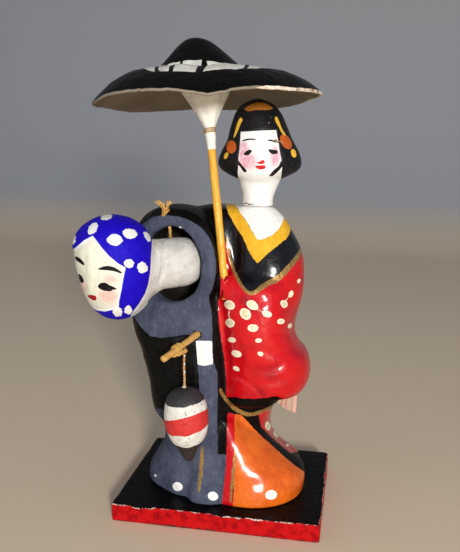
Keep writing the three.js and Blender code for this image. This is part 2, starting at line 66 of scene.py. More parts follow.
# Distance to a form that is carried up through a table of oval sections: the way out along the
# section's own radius, and past the ends the way to the end.
def carried(rows, p, turn=None, origin=None, round=1.0):
    if turn is not None:
        p = (p - origin) @ turn
    x, y, z = p[..., 0], p[..., 1], p[..., 2]
    ends = rows[0][0], rows[-1][0]
    places = np.linspace(ends[0], ends[1], 240)
    table = rowsAt(rows, places)
    held = np.clip(z, *ends)
    cx, cy, w, d, n = (np.interp(held, places, table[:, k]) for k in range(1, 6))
    dx, dy = x - cx, y - cy
    reach = (np.abs(dx / w) ** n + np.abs(dy / d) ** n + 1e-9) ** (1 / n)
    r = np.sqrt(dx * dx + dy * dy + 1e-9)
    side = r - r / reach
    end = np.maximum(ends[0] - z, z - ends[1])
    return smoothMost(side, end, round)


# The lesser of two distances, with the crease between them filled to about a quarter of its width.
def smoothLeast(a, b, width):
    h = np.maximum(width - np.abs(a - b), 0) / width
    return np.minimum(a, b) - h * h * width / 4


def smoothMost(a, b, width):
    return -smoothLeast(-a, -b, width)


# Soft noise from -1 to 1: random values on a lattice, blended smoothly between its corners.
def softNoise(p, size, seed):
    count = 24
    lattice = np.random.default_rng(seed).uniform(-1, 1, (count, count, count))
    q = np.asarray(p) / size + 1000.5
    base = np.floor(q).astype(int)
    f = q - base
    f = f * f * (3 - 2 * f)
    total = 0.0
    for corner in range(8):
        bits = np.array([corner & 1, corner >> 1 & 1, corner >> 2 & 1])
        weight = np.prod(np.where(bits, f, 1 - f), axis=-1)
        i, j, k = np.moveaxis((base + bits) % count, -1, 0)
        total = total + weight * lattice[i, j, k]
    return total


def blended(edge0, edge1, value):
    t = np.clip((value - edge0) / (edge1 - edge0), 0, 1)
    return t * t * (3 - 2 * t)


# The surface where a field of distances is zero. A grid is sampled, each cell that the surface
# crosses gets one vertex at the mean of its crossings, and cells that share a crossed edge share a face.
def skinOfField(field, low, high, step):
    axes = [np.arange(a, b + step, step) for a, b in zip(low, high)]
    grid = np.stack(np.meshgrid(*axes, indexing="ij"), -1)
    values = field(grid)
    inside = values < 0
    shape = np.array(values.shape) - 1

    def cornerOf(array, o):
        return array[o[0]:o[0] + shape[0], o[1]:o[1] + shape[1], o[2]:o[2] + shape[2]]

    corners = [(i, j, k) for i in (0, 1) for j in (0, 1) for k in (0, 1)]
    filled = sum(cornerOf(inside, o).astype(int) for o in corners)
    active = (filled > 0) & (filled < 8)
    number = np.full(active.shape, -1)
    number[active] = np.arange(active.sum())
    cells = np.argwhere(active)
    total = np.zeros((len(cells), 3))
    hits = np.zeros(len(cells))
    for o in corners:
        for axis in range(3):
            if o[axis]:
                continue
            q = list(o)
            q[axis] = 1
            va, vb = cornerOf(values, o)[active], cornerOf(values, q)[active]
            crossed = (va < 0) != (vb < 0)
            t = np.where(crossed, va / np.where(crossed, va - vb, 1), 0)
            place = np.array(o, float) + t[:, None] * np.eye(3)[axis]
            total += place * crossed[:, None]
            hits += crossed
    points = (cells + total / hits[:, None]) * step + np.array([a[0] for a in axes])
    faces = []
    for axis in range(3):
        b, c = (axis + 1) % 3, (axis + 2) % 3
        first = [slice(None)] * 3
        second = [slice(None)] * 3
        first[axis], second[axis] = slice(0, -1), slice(1, None)
        for s in (first, second):
            s[b] = s[c] = slice(1, -1)
        rise = inside[tuple(first)].astype(int) - inside[tuple(second)].astype(int)
        for way in (1, -1):
            at = np.argwhere(rise == way)
            at[:, b] += 1
            at[:, c] += 1
            ring = []
            for db, dc in ((-1, -1), (0, -1), (0, 0), (-1, 0)):
                q = at.copy()
                q[:, b] += db
                q[:, c] += dc
                ring.append(number[q[:, 0], q[:, 1], q[:, 2]])
            quad = np.stack(ring, 1)
            faces.append(quad if way == 1 else quad[:, ::-1])
    faces = np.concatenate(faces)
    for _ in range(2):
        slope, here = slopeOf(field, points)
        move = -here[:, None] * slope / np.maximum((slope**2).sum(1), 0.05)[:, None]
        points = points + np.clip(move, -0.6 * step, 0.6 * step)
    return points, faces


def slopeOf(field, points, h=0.15):
    steps = np.eye(3) * h
    slope = np.stack([(field(points + s) - field(points - s)) / (2 * h) for s in steps], 1)
    return slope, field(points)


# How sharply the drawn side of a form gives way to the side that is turned away, in millimetres
sideEdge = 14


# The way out of a form at each point, and how far that way looks towards the drawing place
def facingOf(points, field):
    slope, _ = slopeOf(field, points)
    outward = slope / np.linalg.norm(slope, axis=1)[:, None]
    toView = viewPlace - points
    toView /= np.linalg.norm(toView, axis=1)[:, None]
    return outward, (outward * toView).sum(1)


# A mesh from points and sets of faces, each set with its own number of corners, and its values per point
def addPiece(name, points, faceSets, node, values=None):
    mesh = bpy.data.meshes.new(name)
    mesh.vertices.add(len(points))
    mesh.vertices.foreach_set("co", (np.asarray(points) * mm).ravel())
    flat = np.concatenate([faces.ravel() for faces in faceSets]).astype(np.int32)
    sizes = np.concatenate([np.full(len(faces), faces.shape[1]) for faces in faceSets])
    mesh.loops.add(len(flat))
    mesh.loops.foreach_set("vertex_index", flat)
    mesh.polygons.add(len(sizes))
    mesh.polygons.foreach_set("loop_start", (np.cumsum(sizes) - sizes).astype(np.int32))
    mesh.update(calc_edges=True)
    for key, value in (values or {}).items():
        mesh.attributes.new(key, "FLOAT", "POINT").data.foreach_set("value", np.asarray(value, np.float32))
    mesh.validate()
    mesh.shade_smooth()
    piece = bpy.data.objects.new(name, mesh)
    bpy.context.collection.objects.link(piece)
    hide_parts(node)
    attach(piece, "root")
    return piece


# Tools for paint outlines on the sheet


# Where the line from the drawing place through each point meets the sheet
def onSheet(points):
    share = (0 - viewPlace[1]) / (points[:, 1] - viewPlace[1])
    return viewPlace[[0, 2]] + (points[:, [0, 2]] - viewPlace[[0, 2]]) * share[:, None]


def ovalPaint(s, x, z, halfWide, halfHigh, tilt=0.0):
    a = math.radians(tilt)
    dx, dz = s[:, 0] - x, s[:, 1] - z
    u, v = dx * math.cos(a) + dz * math.sin(a), dz * math.cos(a) - dx * math.sin(a)
    reach = np.sqrt((u / halfWide) ** 2 + (v / halfHigh) ** 2 + 1e-9)
    r = np.sqrt(u * u + v * v + 1e-9)
    return r - r / reach


# A smooth line through points, closed or open
def drawnLine(points, closed=False, per=6):
    p = np.asarray(points, float)
    before, after = (np.roll(p, 1, 0), np.roll(p, -1, 0))
    if not closed:
        before[0], after[-1] = p[0], p[-1]
    last = np.roll(after, -1, 0)
    if not closed:
        last[-2], last[-1] = p[-1], p[-1]
    t = np.linspace(0, 1, per, endpoint=False)[:, None, None]
    curve = 0.5 * (2 * p + (after - before) * t + (2 * before - 5 * p + 4 * after - last) * t**2
                   + (3 * p - before - 3 * after + last) * t**3)
    curve = np.moveaxis(curve, 0, 1).reshape(-1, 2)
    return curve if closed else np.vstack([curve[:-per], p[-1:]]) if len(p) > 1 else p


# Distance to a line, and where along it the nearest place is
def toLine(s, line):
    best = np.full(len(s), 1e9)
    where = np.zeros(len(s))
    for i, (a, b) in enumerate(zip(line[:-1], line[1:])):
        ab = b - a
        t = np.clip(((s - a) @ ab) / max(ab @ ab, 1e-9), 0, 1)
        d = np.hypot(*(s - a - t[:, None] * ab).T)
        near = d < best
        best = np.where(near, d, best)
        where = np.where(near, (i + t) / (len(line) - 1), where)
    return best, where


def strokePaint(s, points, halfWide, thin=0.5, per=6):
    line = drawnLine(points, per=per)
    d, where = toLine(s, line)
    return d - halfWide * (1 - thin * (2 * where - 1) ** 2)


def outlinePaint(s, points, smooth=True):
    line = drawnLine(points, closed=True) if smooth else np.asarray(points, float)
    loop = np.vstack([line, line[:1]])
    d, _ = toLine(s, loop)
    within = np.zeros(len(s), bool)
    for a, b in zip(loop[:-1], loop[1:]):
        if a[1] == b[1]:
            continue
        spans = (a[1] > s[:, 1]) != (b[1] > s[:, 1])
        within ^= spans & (s[:, 0] < (b[0] - a[0]) * (s[:, 1] - a[1]) / (b[1] - a[1]) + a[0])
    return np.where(within, -d, d)


# Soft mounds and dents on the sheet, each an oval with its place, half sizes, tilt and height
def lowRelief(s, rows):
    total = 0
    for x, z, wide, tall, tilt, high in rows:
        past = np.maximum(ovalPaint(s, x, z, wide, tall, tilt) + 0.8 * wide, 0) / wide
        total = total + high * np.exp(-(past ** 2) * 1.6)
    return total


# Several outlines, or several ovals, as one paint
def outlines(s, *lines):
    return least(*(outlinePaint(s, line) for line in lines))


def ovals(s, rows):
    return least(*(ovalPaint(s, *row) for row in rows))


def least(*values):
    total = values[0]
    for value in values[1:]:
        total = np.minimum(total, value)
    return total


def most(*values):
    return -least(*(-np.asarray(value) for value in values))


# Tools for materials


# A socket of a material's nodes, with sums and products written as such
class Wire:
    def __init__(self, tree, socket):
        self.tree, self.socket = tree, socket

    def math(self, kind, *others):
        return self.tree.node("ShaderNodeMath", {"operation": kind}, dict(enumerate((self, *others))))

    def __add__(self, other):
        return self.math("ADD", other)

    __radd__ = __add__

    def __mul__(self, other):
        return self.math("MULTIPLY", other)

    __rmul__ = __mul__

    def __sub__(self, other):
        return self.math("SUBTRACT", other)

    def __rsub__(self, other):
        return (self * -1.0) + other

    def clamp(self):
        return self.math("MAXIMUM", 0.0).math("MINIMUM", 1.0)

    # 0 below low, 1 above high, smooth between
    def ramp(self, low, high):
        return self.tree.node("ShaderNodeMapRange", {"interpolation_type": "SMOOTHSTEP"},
                              {0: self, 1: low, 2: high, 3: 0.0, 4: 1.0})

    # 1 inside a painted outline, 0 outside
    def covers(self, wobble, soft=0.12):
        return (self + wobble).ramp(soft, -soft)


class Paint:
    def __init__(self, name):
        self.material = bpy.data.materials.new(name)
        self.material.use_nodes = True
        self.tree = self.material.node_tree
        self.shader = self.tree.nodes["Principled BSDF"]

    # Any node: its type, its settings, which are set first, and its sockets by name or number
    def node(self, kind, settings, sockets, out=0):
        made = self.tree.nodes.new(kind)
        for key, value in settings.items():
            setattr(made, key, value)
        for key, value in sockets.items():
            if isinstance(value, Wire):
                self.tree.links.new(value.socket, made.inputs[key])
            else:
                made.inputs[key].default_value = value
        return Wire(self, made.outputs[out])

    def place(self):
        return self.node("ShaderNodeTexCoord", {}, {}, out="Object")

    def value(self, name):
        return self.node("ShaderNodeAttribute", {"attribute_name": name}, {}, out="Fac")

    def stretched(self, x, y, z):
        return self.node("ShaderNodeMapping", {}, {"Vector": self.place(), "Scale": (x, y, z)})

    # Noise from 0 to 1, its size in millimetres
    def noise(self, size, detail=3.0, rough=0.55, at=None, twist=0.0):
        return self.node("ShaderNodeTexNoise", {}, {"Vector": at or self.place(), "Scale": 1000.0 / size,
                                                    "Detail": detail, "Roughness": rough,
                                                    "Distortion": twist})

    def mix(self, share, a, b):
        a, b = (v if isinstance(v, Wire) else (*v, 1.0) for v in (a, b))
        return self.node("ShaderNodeMix", {"data_type": "RGBA"}, {0: share, 6: a, 7: b}, out=2)

    def between(self, share, a, b):
        return self.node("ShaderNodeMix", {"data_type": "FLOAT"}, {0: share, 2: a, 3: b})

    # Feeds the shader: each name is one of its sockets, by a wire or a plain value
    def finish(self, relief=None, depth=0.1, **sockets):
        for key, value in sockets.items():
            socket = self.shader.inputs[key.replace("_", " ")]
            if isinstance(value, Wire):
                self.tree.links.new(value.socket, socket)
            else:
                socket.default_value = value
        if relief is not None:
            bump = self.node("ShaderNodeBump", {}, {"Strength": 1.0, "Distance": depth * mm,
                                                    "Height": relief},
                             out="Normal")
            self.tree.links.new(bump.socket, self.shader.inputs["Normal"])
        return self.material


def dress(piece, material):
    piece.data.materials.clear()
    piece.data.materials.append(material)


# The camera

yaw, pitch, roll = (math.radians(viewTurn[key]) for key in ("yaw", "pitch", "roll"))
ahead = np.array([-math.sin(yaw) * math.cos(pitch), math.cos(yaw) * math.cos(pitch), -math.sin(pitch)])
rightway = np.array([math.cos(yaw), math.sin(yaw), 0.0])
upway = np.cross(rightway, ahead)
rolledRight = rightway * math.cos(roll) + upway * math.sin(roll)
rolledUp = -rightway * math.sin(roll) + upway * math.cos(roll)
camera = bpy.data.objects.new("camera", bpy.data.cameras.new("camera"))
camera.data.lens = viewTurn["lens"]
camera.data.clip_start = 0.01
camera.matrix_world = Matrix([
    [rolledRight[i], rolledUp[i], -ahead[i], viewPlace[i] * mm] for i in range(3)
] + [[0, 0, 0, 1]])
bpy.context.collection.objects.link(camera)
bpy.context.scene.camera = camera
print("camera placed")

# The robes

robes = {
    "step": 0.95,          # the size of the skin's faces
    "crease": 3.2,         # how widely the folds between forms are filled
    "bandCrease": 6.0,     # the same between the collar's band and the coat
    "lumps": 0.6,          # how far the paper's surface wanders
    "collarWidth": 37.0,   # the collar's opening, its band and its hollow
    "collarHeight": 41.0,
    "collarBand": 7.0,
    "collarThickness": 5.0,
    "hollowDepth": 40.0,
    "neckHole": 7.3,       # radii of the holes for the neck and the two sticks
    "poleHole": 2.5,
    "rodHole": 2.0,
}

# Sections of the upright forms: height over the board, middle x, middle y, half width, half depth, squareness
uprightForms = {
    "manTrunk": [
        (0, -21.5, 3, 26.5, 28, 2.3), (8, -21, 3, 25.5, 27.5, 2.3), (17, -20, 2, 21.5, 27, 2.3),
        (27, -19, 1, 18, 26.8, 2.4), (42, -19.5, 0.5, 18, 27.3, 2.4), (60, -21.5, 0, 21, 28, 2.3),
        (80, -24.5, 0, 23.5, 29.6, 2.2), (94, -26.5, 0.5, 26, 30.9, 2.2), (103, -27.5, 2, 27, 29.5, 2.2),
        (110, -27.5, 3.5, 26.5, 26.5, 2.1), (118, -27, 5, 25, 23, 2), (130, -26, 5, 22, 17, 2),
        (146, -24, 5, 12, 9, 2)],
    "manSleeve": [
        (36, -25, -8, 6, 12, 2), (38.5, -25.6, -8, 8.6, 16.5, 2.3), (45, -28, -8, 12, 18.5, 2.5),
        (52, -29, -8, 13.2, 19.2, 2.6), (66, -30.6, -7.5, 13.8, 20, 2.6), (84, -34, -7, 15.6, 20.5, 2.6),
        (92, -37, -6.5, 15.6, 20.5, 2.6), (100, -39.6, -5.5, 14.8, 20, 2.4), (110, -41, -4, 13, 17, 2.2),
        (118, -39, -2, 9, 12, 2)],
    "manFrontPanel": [
        (0, -7, -12, 12.6, 25, 3), (6, -7, -12, 12.4, 23.2, 3), (16, -7.4, -11, 12.2, 20.6, 2.8),
        (34, -9, -10, 12.4, 18.8, 2.6), (60, -10, -10, 12.6, 19, 2.6), (84, -12, -9.5, 12.8, 19.6, 2.6),
        (100, -14, -8.5, 13.6, 19, 2.6), (108, -15, -8, 14, 17.8, 2.6), (114, -16, -7, 12.8, 15.4, 2.5),
        (119.5, -17.5, -5, 8.5, 9, 2.2)],
    "coatBetween": [
        (0, -2, 7, 24, 30, 2.2), (24, -2, 7, 18, 25, 2.2), (60, -3, 4, 18, 25, 2.3),
        (100, -5, 3, 18, 24.6, 2.4), (120, -6, 3.5, 18, 22.5, 2.4), (136, -6.5, 4.5, 18.6, 20.8, 2.4),
        (150, -6, 5, 19, 18.6, 2.4), (157, -6, 5, 17, 15.6, 2.3), (160.4, -6, 5, 13.6, 11.4, 2.2),
        (161.8, -6, 5, 8, 6, 2)],
    "womanTorso": [
        (56, 17, 3, 16, 20, 2), (80, 18, 0, 19, 22, 2), (92, 17.9, -0.5, 18.6, 21.8, 2),
        (100, 18.6, -1, 19, 21.5, 2), (108, 19.8, -1, 20, 21.5, 2), (120, 20.8, -1, 20.6, 21.4, 2),
        (131, 20.8, -1, 20.3, 20, 2), (140, 18.8, 0, 19.8, 18.4, 2), (148, 15.6, 0.5, 18.8, 16.8, 2),
        (154, 13.4, 1, 17.4, 14.2, 2), (158.4, 12.6, 1, 14.4, 10.8, 2), (162, 13.4, 1, 9, 8.4, 2)],
    "womanSleeves": [
        (58.5, 21, -6, 18, 18, 2.2), (60, 21.2, -6, 21, 21.4, 2.2), (66, 22.3, -6, 24, 23.4, 2.2),
        (74, 23, -6, 24, 24, 2.2), (82, 21.5, -6.5, 23, 24.4, 2.2), (88, 19.2, -7, 20.4, 24.2, 2.3),
        (94, 18, -7.5, 18.6, 23.8, 2.4), (104, 17, -8, 18.4, 22.6, 2.6), (112, 16, -9, 18.6, 20.4, 2.8),
        (119, 15, -9.5, 18.2, 18, 3), (123.5, 14.4, -9, 16, 15.8, 2.8), (129, 14.5, -7.5, 12, 12, 2.4)],
    "skirtFront": [
        (0, -19, -8, 17, 22, 2.2), (10, -19, -8, 16, 21.4, 2.2), (22, -17, -8, 13, 20, 2.2),
        (36, -15, -8, 9, 17, 2)],
    "coatTuck": [
        (51.5, 14, -4, 12, 16, 2), (54, 14.5, -4.5, 16, 20.5, 2.2), (60, 15, -5, 17, 22, 2.2),
        (68, 16, -5, 15, 18, 2)],
    "orangeSkirt": [
        (0, 14, -5, 31, 31, 2.1), (8, 14.5, -5, 31.5, 29.5, 2.1), (13, 13.5, -5, 31, 28, 2.1),
        (18, 11, -6, 27.5, 26.4, 2.1), (24, 8.2, -6, 21.4, 24.6, 2.1), (33, 5, -6, 14.6, 22, 2.1),
        (44, 2, -5, 6, 19, 2)],
    "backSkirt": [
        (0, 14, 14, 27.5, 29, 2.8), (6, 13.4, 14, 27.2, 28, 2.8), (11, 12.6, 13, 22.6, 26.4, 2.6),
        (17, 11.4, 12, 17.4, 25, 2.4), (25, 10.4, 11, 13.6, 23.6, 2.2), (34, 10, 9, 13, 22.6, 2.2),
        (45, 11, 7, 14.5, 22, 2.2), (62, 15, 4, 17, 21, 2.2)],
}
# Along the man's bent back, from behind him to his collar: place, across, up, half width, half height,
    # squareness
bentBack = [
    (-49, -1, -2, 8, 9, 2), (-46, -1.5, -1.5, 15.5, 16.5, 2), (-41, -2.5, -1, 22, 22.8, 2),
    (-31, -4, -0.5, 25.5, 28, 2.2), (-19, -5, 0, 26, 31, 2.5), (-8, -4.2, 0, 27, 31, 2.7),
    (-1.5, -2.2, 0, 27.4, 29.2, 2.6)]

collarPlace = np.array([-28.5, -18, 130.5 + boardTop])
collarFacing = np.array([-0.34, -0.94, 0]) / math.hypot(0.34, 0.94)
collarAcross = np.cross([0, 0, 1], collarFacing)
collarTurn = np.stack([collarAcross, [0, 0, 1], collarFacing], 1)
holeWide, holeHigh = robes["collarWidth"] / 2, robes["collarHeight"] / 2
depth = robes["hollowDepth"]
collarHollow = [
    (-depth, 0, 0, holeWide * 0.3, holeHigh * 0.3, 2),
    (-depth * 0.92, 0, 0, holeWide * 0.8, holeHigh * 0.8, 2),
    (-depth * 0.7, 0, 0, holeWide * 1.16, holeHigh * 1.08, 2),
    (-depth * 0.4, 0, 0, holeWide * 1.24, holeHigh * 1.12, 2),
    (-depth * 0.12, 0, 0, holeWide * 1.06, holeHigh * 1.03, 2), (0, 0, 0, holeWide, holeHigh, 2),
    (15, 0, 0, holeWide, holeHigh, 2)]

neckSeat = np.array([14.3, 1, 162 + boardTop])
poleFoot = np.array([0.7, -22, 121.4 + boardTop])
poleLine = np.array([-9.6, 9, 72.6]) / math.hypot(9.6, 9, 72.6)
rodFoot = np.array([-13.8, -29, 93.9 + boardTop])
rodLine = np.array([-11.1, -25, -6.4]) / math.hypot(11.1, 25, 6.4)


# Distance to a rod from a place along a direction
def rodField(p, place, line, start, end, radius):
    q = p - place
    along = q @ line
    side = np.sqrt(np.maximum((q * q).sum(-1) - along**2, 1e-9)) - radius
    return np.maximum(side, np.maximum(start - along, along - end))


# The collar's band: a ring whose section is a squarish oval
def collarBandField(p):
    q = (p - collarPlace) @ collarTurn
    half = robes["collarBand"] / 2
    x, y, z = q[..., 0], q[..., 1], q[..., 2]
    reach = np.sqrt((x / (holeWide + half)) ** 2 + (y / (holeHigh + half)) ** 2 + 1e-9)
    r = np.sqrt(x * x + y * y + 1e-9)
    out = r - r / reach
    thick = robes["collarThickness"] / 2
    section = (np.abs(out / half) ** 3 + np.abs(z / thick) ** 3 + 1e-9) ** (1 / 3)
    return (section - 1) * thick


# Soft dents and ridges drawn on the sheet: line, half width, depth (a ridge is less than 0)
robeFolds = [
    ([(40, 88), (33, 84), (25, 78), (16, 77)], 2.4, 0.7),
    ([(44, 98), (38, 92), (30, 88), (22, 89)], 2.6, 0.8),
    ([(38, 104), (33, 100), (24, 100)], 2.2, 0.5),
    ([(6, 62), (14, 68), (24, 70), (34, 74)], 2.6, 0.5),
    ([(2, 120), (8, 117), (18, 118), (28, 121)], 3.0, 0.5),
    ([(-1, 98), (4, 94), (6, 84), (4, 70)], 2.4, 0.5),
    ([(8, 46), (15, 30), (24, 16), (30, 2)], 3.4, 0.5),
    ([(18, 40), (30, 28), (40, 12)], 3.0, -0.4),
    ([(-40, 93), (-30, 94), (-20, 95)], 1.4, 0.6),
    ([(-19, 95), (-19, 80), (-18, 62)], 1.3, 0.5),
    ([(-10, 108), (-9.5, 92), (-8, 76), (-6.7, 50), (-6.7, 23)], 1.2, 0.5),
    ([(-24, 44), (-26, 26), (-32, 4)], 3.0, 0.6),
    ([(-3, 20), (-5, 4), (-8, -8)], 2.0, 0.5),
    ([(-19, 172), (-11, 164), (-7, 150)], 2.0, 0.7),
    ([(-2.6, 146), (-0.8, 140.7), (1.1, 136), (1.4, 131.3), (0.3, 127.1), (-1.2, 124)], 1.1, -0.9),
    ([(2.5, 72.5), (6.7, 71.6), (11.6, 68.8), (15.9, 65.4), (19.5, 62)], 1.5, 0.8),
    ([(-45, 108), (-36, 112), (-22, 112), (-12, 106)], 2.6, 0.4),
]


def robeForm(p):
    held = p - np.array([0, 0, boardTop])
    total = None
    for name, rows in uprightForms.items():
        part = carried(rows, held, round=1.5)
        total = part if total is None else smoothLeast(total, part, robes["crease"])
    back = carried(bentBack, p, collarTurn, collarPlace, round=3.0)
    total = smoothLeast(total, back, robes["crease"])
    total = smoothLeast(total, collarBandField(p), robes["bandCrease"])
    total = smoothLeast(total, rodField(p, poleFoot, poleLine, -7, 4.5, 3.3), 2.5)
    total = smoothMost(total, -carried(collarHollow, p, collarTurn, collarPlace), 2.4)
    total = np.maximum(total, -rodField(p, neckSeat, np.array([0, 0, 1.0]), -5, 8, robes["neckHole"]))
    total = np.maximum(total, -rodField(p, poleFoot, poleLine, -8.3, 70, robes["poleHole"]))
    total = np.maximum(total, -rodField(p, rodFoot, rodLine, -6.3, 28, robes["rodHole"]))
    return np.maximum(total, boardTop - p[..., 2])


# The form with the paper's lumps, which fade out towards the bottom
def robeField(p):
    total = robeForm(p)
    lumps = 0.5 * softNoise(p, 12, 3) + 0.35 * softNoise(p, 6, 4) + 0.15 * softNoise(p, 3.4, 5)
    return total + robes["lumps"] * lumps * blended(boardTop, boardTop + 4, p[..., 2])


points, faces = skinOfField(robeField, (-61, -40, boardTop - 1), (50, 48, 175), robes["step"])
outward, facing = facingOf(points, robeForm)
sheet = onSheet(points)
front = blended(-0.05, 0.15, facing)
shift = np.zeros(len(points))
for line, wide, deep in robeFolds:
    d, where = toLine(sheet, drawnLine(line))
    shift -= deep * np.exp(-((d / wide) ** 2)) * np.sin(np.pi * np.clip(where, 0.04, 0.96)) ** 0.5
keep = blended(boardTop + 0.5, boardTop + 3, points[:, 2])
points = points + outward * (shift * front * keep)[:, None]
print("robes", len(points), "points")

# Where each paint ends, in millimetres from its edge and less than 0 inside it, on the drawing sheet for
# the side that faces the drawing place and on the upright plane for the side that is turned away
def bothSides(front, back, facing):
    turn = facing * sideEdge
    return least(most(front, -turn), most(back, turn))


behind = points[:, [0, 2]]
ringOuter = drawnLine([(-54.9, 155), (-50.1, 160.9), (-42.4, 164.6), (-29.5, 164.4), (-17.9, 159.2),
                       (-11.5, 150.9), (-8.6, 139.6), (-9.6, 127.4), (-12.5, 119.7)])
stripLeft = [(-12.2, 116), (-10.4, 107.4), (-10, 93.7), (-9.3, 80.5), (-7.1, 74.5), (-6.7, 63.5),
             (-6.7, 23.4), (-1.2, 23.4), (-1.8, 12), (-3.4, -12), (-8, -25), (-75, -25), (-75, 47)]
sleeveEdge = [(-41, 49), (-26.6, 40), (-17.5, 56.5), (-18.2, 66.4), (-19.1, 78), (-19.2, 94.6), (-25.4, 96),
              (-40.5, 93), (-47.8, 93.7), (-53.9, 99.4), (-57.5, 105), (-75, 106), (-75, 155)]
blueFront = outlinePaint(sheet, np.vstack([ringOuter, stripLeft, sleeveEdge]), smooth=False)
blueBack = outlinePaint(behind, [(-70, 52), (-45, 50), (-30, 53), (-14, 50), (-4, 46), (-3, 30), (-5, 8),
                                 (-5, 0), (-70, 0)], smooth=False)
blue = bothSides(blueFront, blueBack, facing)
inHollow = most(carried(collarHollow, points, collarTurn, collarPlace) - 0.9,
                (points - collarPlace) @ collarFacing + 0.4)
blue = most(blue, -inHollow)

goldEdge = [(-2.4, 153.4), (-1.6, 148.8), (-0.8, 143), (1.4, 136.1), (4.7, 129.1), (8, 124.6), (11.3, 122.4),
            (13.9, 123.1), (20.5, 128.1), (26.2, 131.3), (30.7, 135.6), (34.5, 140.4), (37.5, 144.6),
            (41, 151)]
redFront = outlinePaint(sheet, goldEdge + [(70, 158), (70, 58), (36, 60), (27.4, 62.5), (22.1, 61),
                                           (15.4, 59.9), (8.6, 59.4), (3.1, 60), (-1.6, 59.5), (-2.1, 73.4),
                                           (-3.1, 82.7), (-4.7, 91.8), (-6.3, 100.9), (-7.1, 110),
                                           (-7, 116), (-5.9, 123.3), (-5.5, 135), (-5, 146)], smooth=False)
redStrip = outlinePaint(sheet, [(-0.9, 50.1), (3.3, 49.5), (3.9, 27), (2.8, -7.3), (2.4, -18), (-4.5, -18),
                                (-3.6, -9.3), (-1.5, 16.9)], smooth=False)
train = outlinePaint(sheet, [(17.2, 51.9), (21.8, 54.2), (30, 55.5), (60, 55), (60, 22), (43.5, 30.1),
                             (36.5, 28.2), (27.5, 34.9), (19.1, 42.8)], smooth=False)
redBack = outlinePaint(behind, [(-3, 62), (-5, 90), (-4.5, 120), (-3.5, 146), (6, 143), (20, 141), (32, 144),
                                (60, 152), (60, 66), (30, 63), (14, 62)], smooth=False)
trainBack = outlinePaint(behind, [(8, 55), (14, 50), (12, 30), (8, 18), (4, 0), (60, 0), (60, 57), (24, 56)],
                         smooth=False)
red = bothSides(least(redFront, redStrip, train), least(redBack, trainBack), facing)

orangeFront = outlinePaint(sheet, [(3.3, 49.5), (6.8, 49.3), (8.8, 47.9), (14.4, 41.9), (21.3, 35.3),
                                   (28.3, 29.4), (35.2, 23.6), (44.9, 17.3), (70, 14), (70, -30),
                                   (2.5, -30), (3.9, 27)], smooth=False)
orange = bothSides(orangeFront, most(points[:, 2] - 20, points[:, 1] - 8, 20 - points[:, 0]), facing)

yellowOuter = [(-3.2, 173), (-2.5, 168.9), (-1.1, 166.1), (2.5, 159.9), (6.6, 154.3), (9.1, 148.6),
               (12.1, 143), (15.1, 139.7), (16.2, 140.8), (20.1, 145), (25.7, 149.9), (30.8, 154.1),
               (32.7, 157), (33, 160.7), (40, 164), (40, 170)]
yellowInner = [(31, 170), (29, 165.1), (28.5, 163.1), (26.6, 159.6), (23.3, 156.1), (18.8, 153.9),
               (15.1, 153.1), (12.4, 156.8), (9.4, 161.9), (5.3, 167.5), (3.5, 170.3), (2, 176)]
blackFront = outlinePaint(sheet, goldEdge + [(60, 156), (60, 172), (36, 176), (30, 190), (-12, 190),
                                             (-8, 158)],
                          smooth=False)
backNape = [(-9, 151), (0, 147), (14, 142), (28, 145.5), (39, 149.5), (60, 152)]
blackBack = outlinePaint(behind, backNape + [(60, 190), (-6, 190)], smooth=False)
sash = outlinePaint(behind, [(6, 93), (30, 92), (31, 121), (5, 122)])
collarBlack = bothSides(blackFront, least(blackBack, sash), facing)
yellow = bothSides(outlinePaint(sheet, yellowOuter + yellowInner, smooth=False),
                   outlinePaint(behind, [(-8, 172), (0, 161), (14, 154), (28, 157), (60, 165), (60, 190),
                                         (-8, 190)],
                                smooth=False), facing)
skinFront = outlinePaint(sheet, yellowInner[1:-1] + [(0, 176), (0, 190), (34, 190), (34, 172)], smooth=False)
skinBack = outlinePaint(behind, [(2, 171), (8, 166), (14, 163), (22, 165), (31, 170), (60, 190), (0, 190)],
                        smooth=False)
onTop = most(np.hypot(points[:, 0] - 14.3, points[:, 1] - 1) - 11.5, 165 - points[:, 2])
skin = least(bothSides(skinFront, skinBack, facing), onTop)
yellow = most(yellow, -skin)

goldFront = least(
    strokePaint(sheet, goldEdge[:8], 0.95, 0.3), strokePaint(sheet, goldEdge[6:], 1.6, 0.4),
    strokePaint(sheet, [(-15.9, 27), (-16.7, 12.1), (-18.1, -2.4)], 1.2, 0.6),
    strokePaint(sheet, [(4.2, 27), (2.9, 10.9), (1.6, -6.8)], 0.9, 0.4),
    strokePaint(sheet, [(-5.2, 63.9), (-3.8, 60.4), (0.4, 55.7), (4.6, 52.2), (11.5, 49.9), (19.6, 52.4),
                        (26.3, 56.5)],
                1.25, 0.4))
goldBack = least(strokePaint(behind, backNape, 1.1, 0.2), np.abs(sash) - 0.7)
gold = bothSides(goldFront, goldBack, facing)

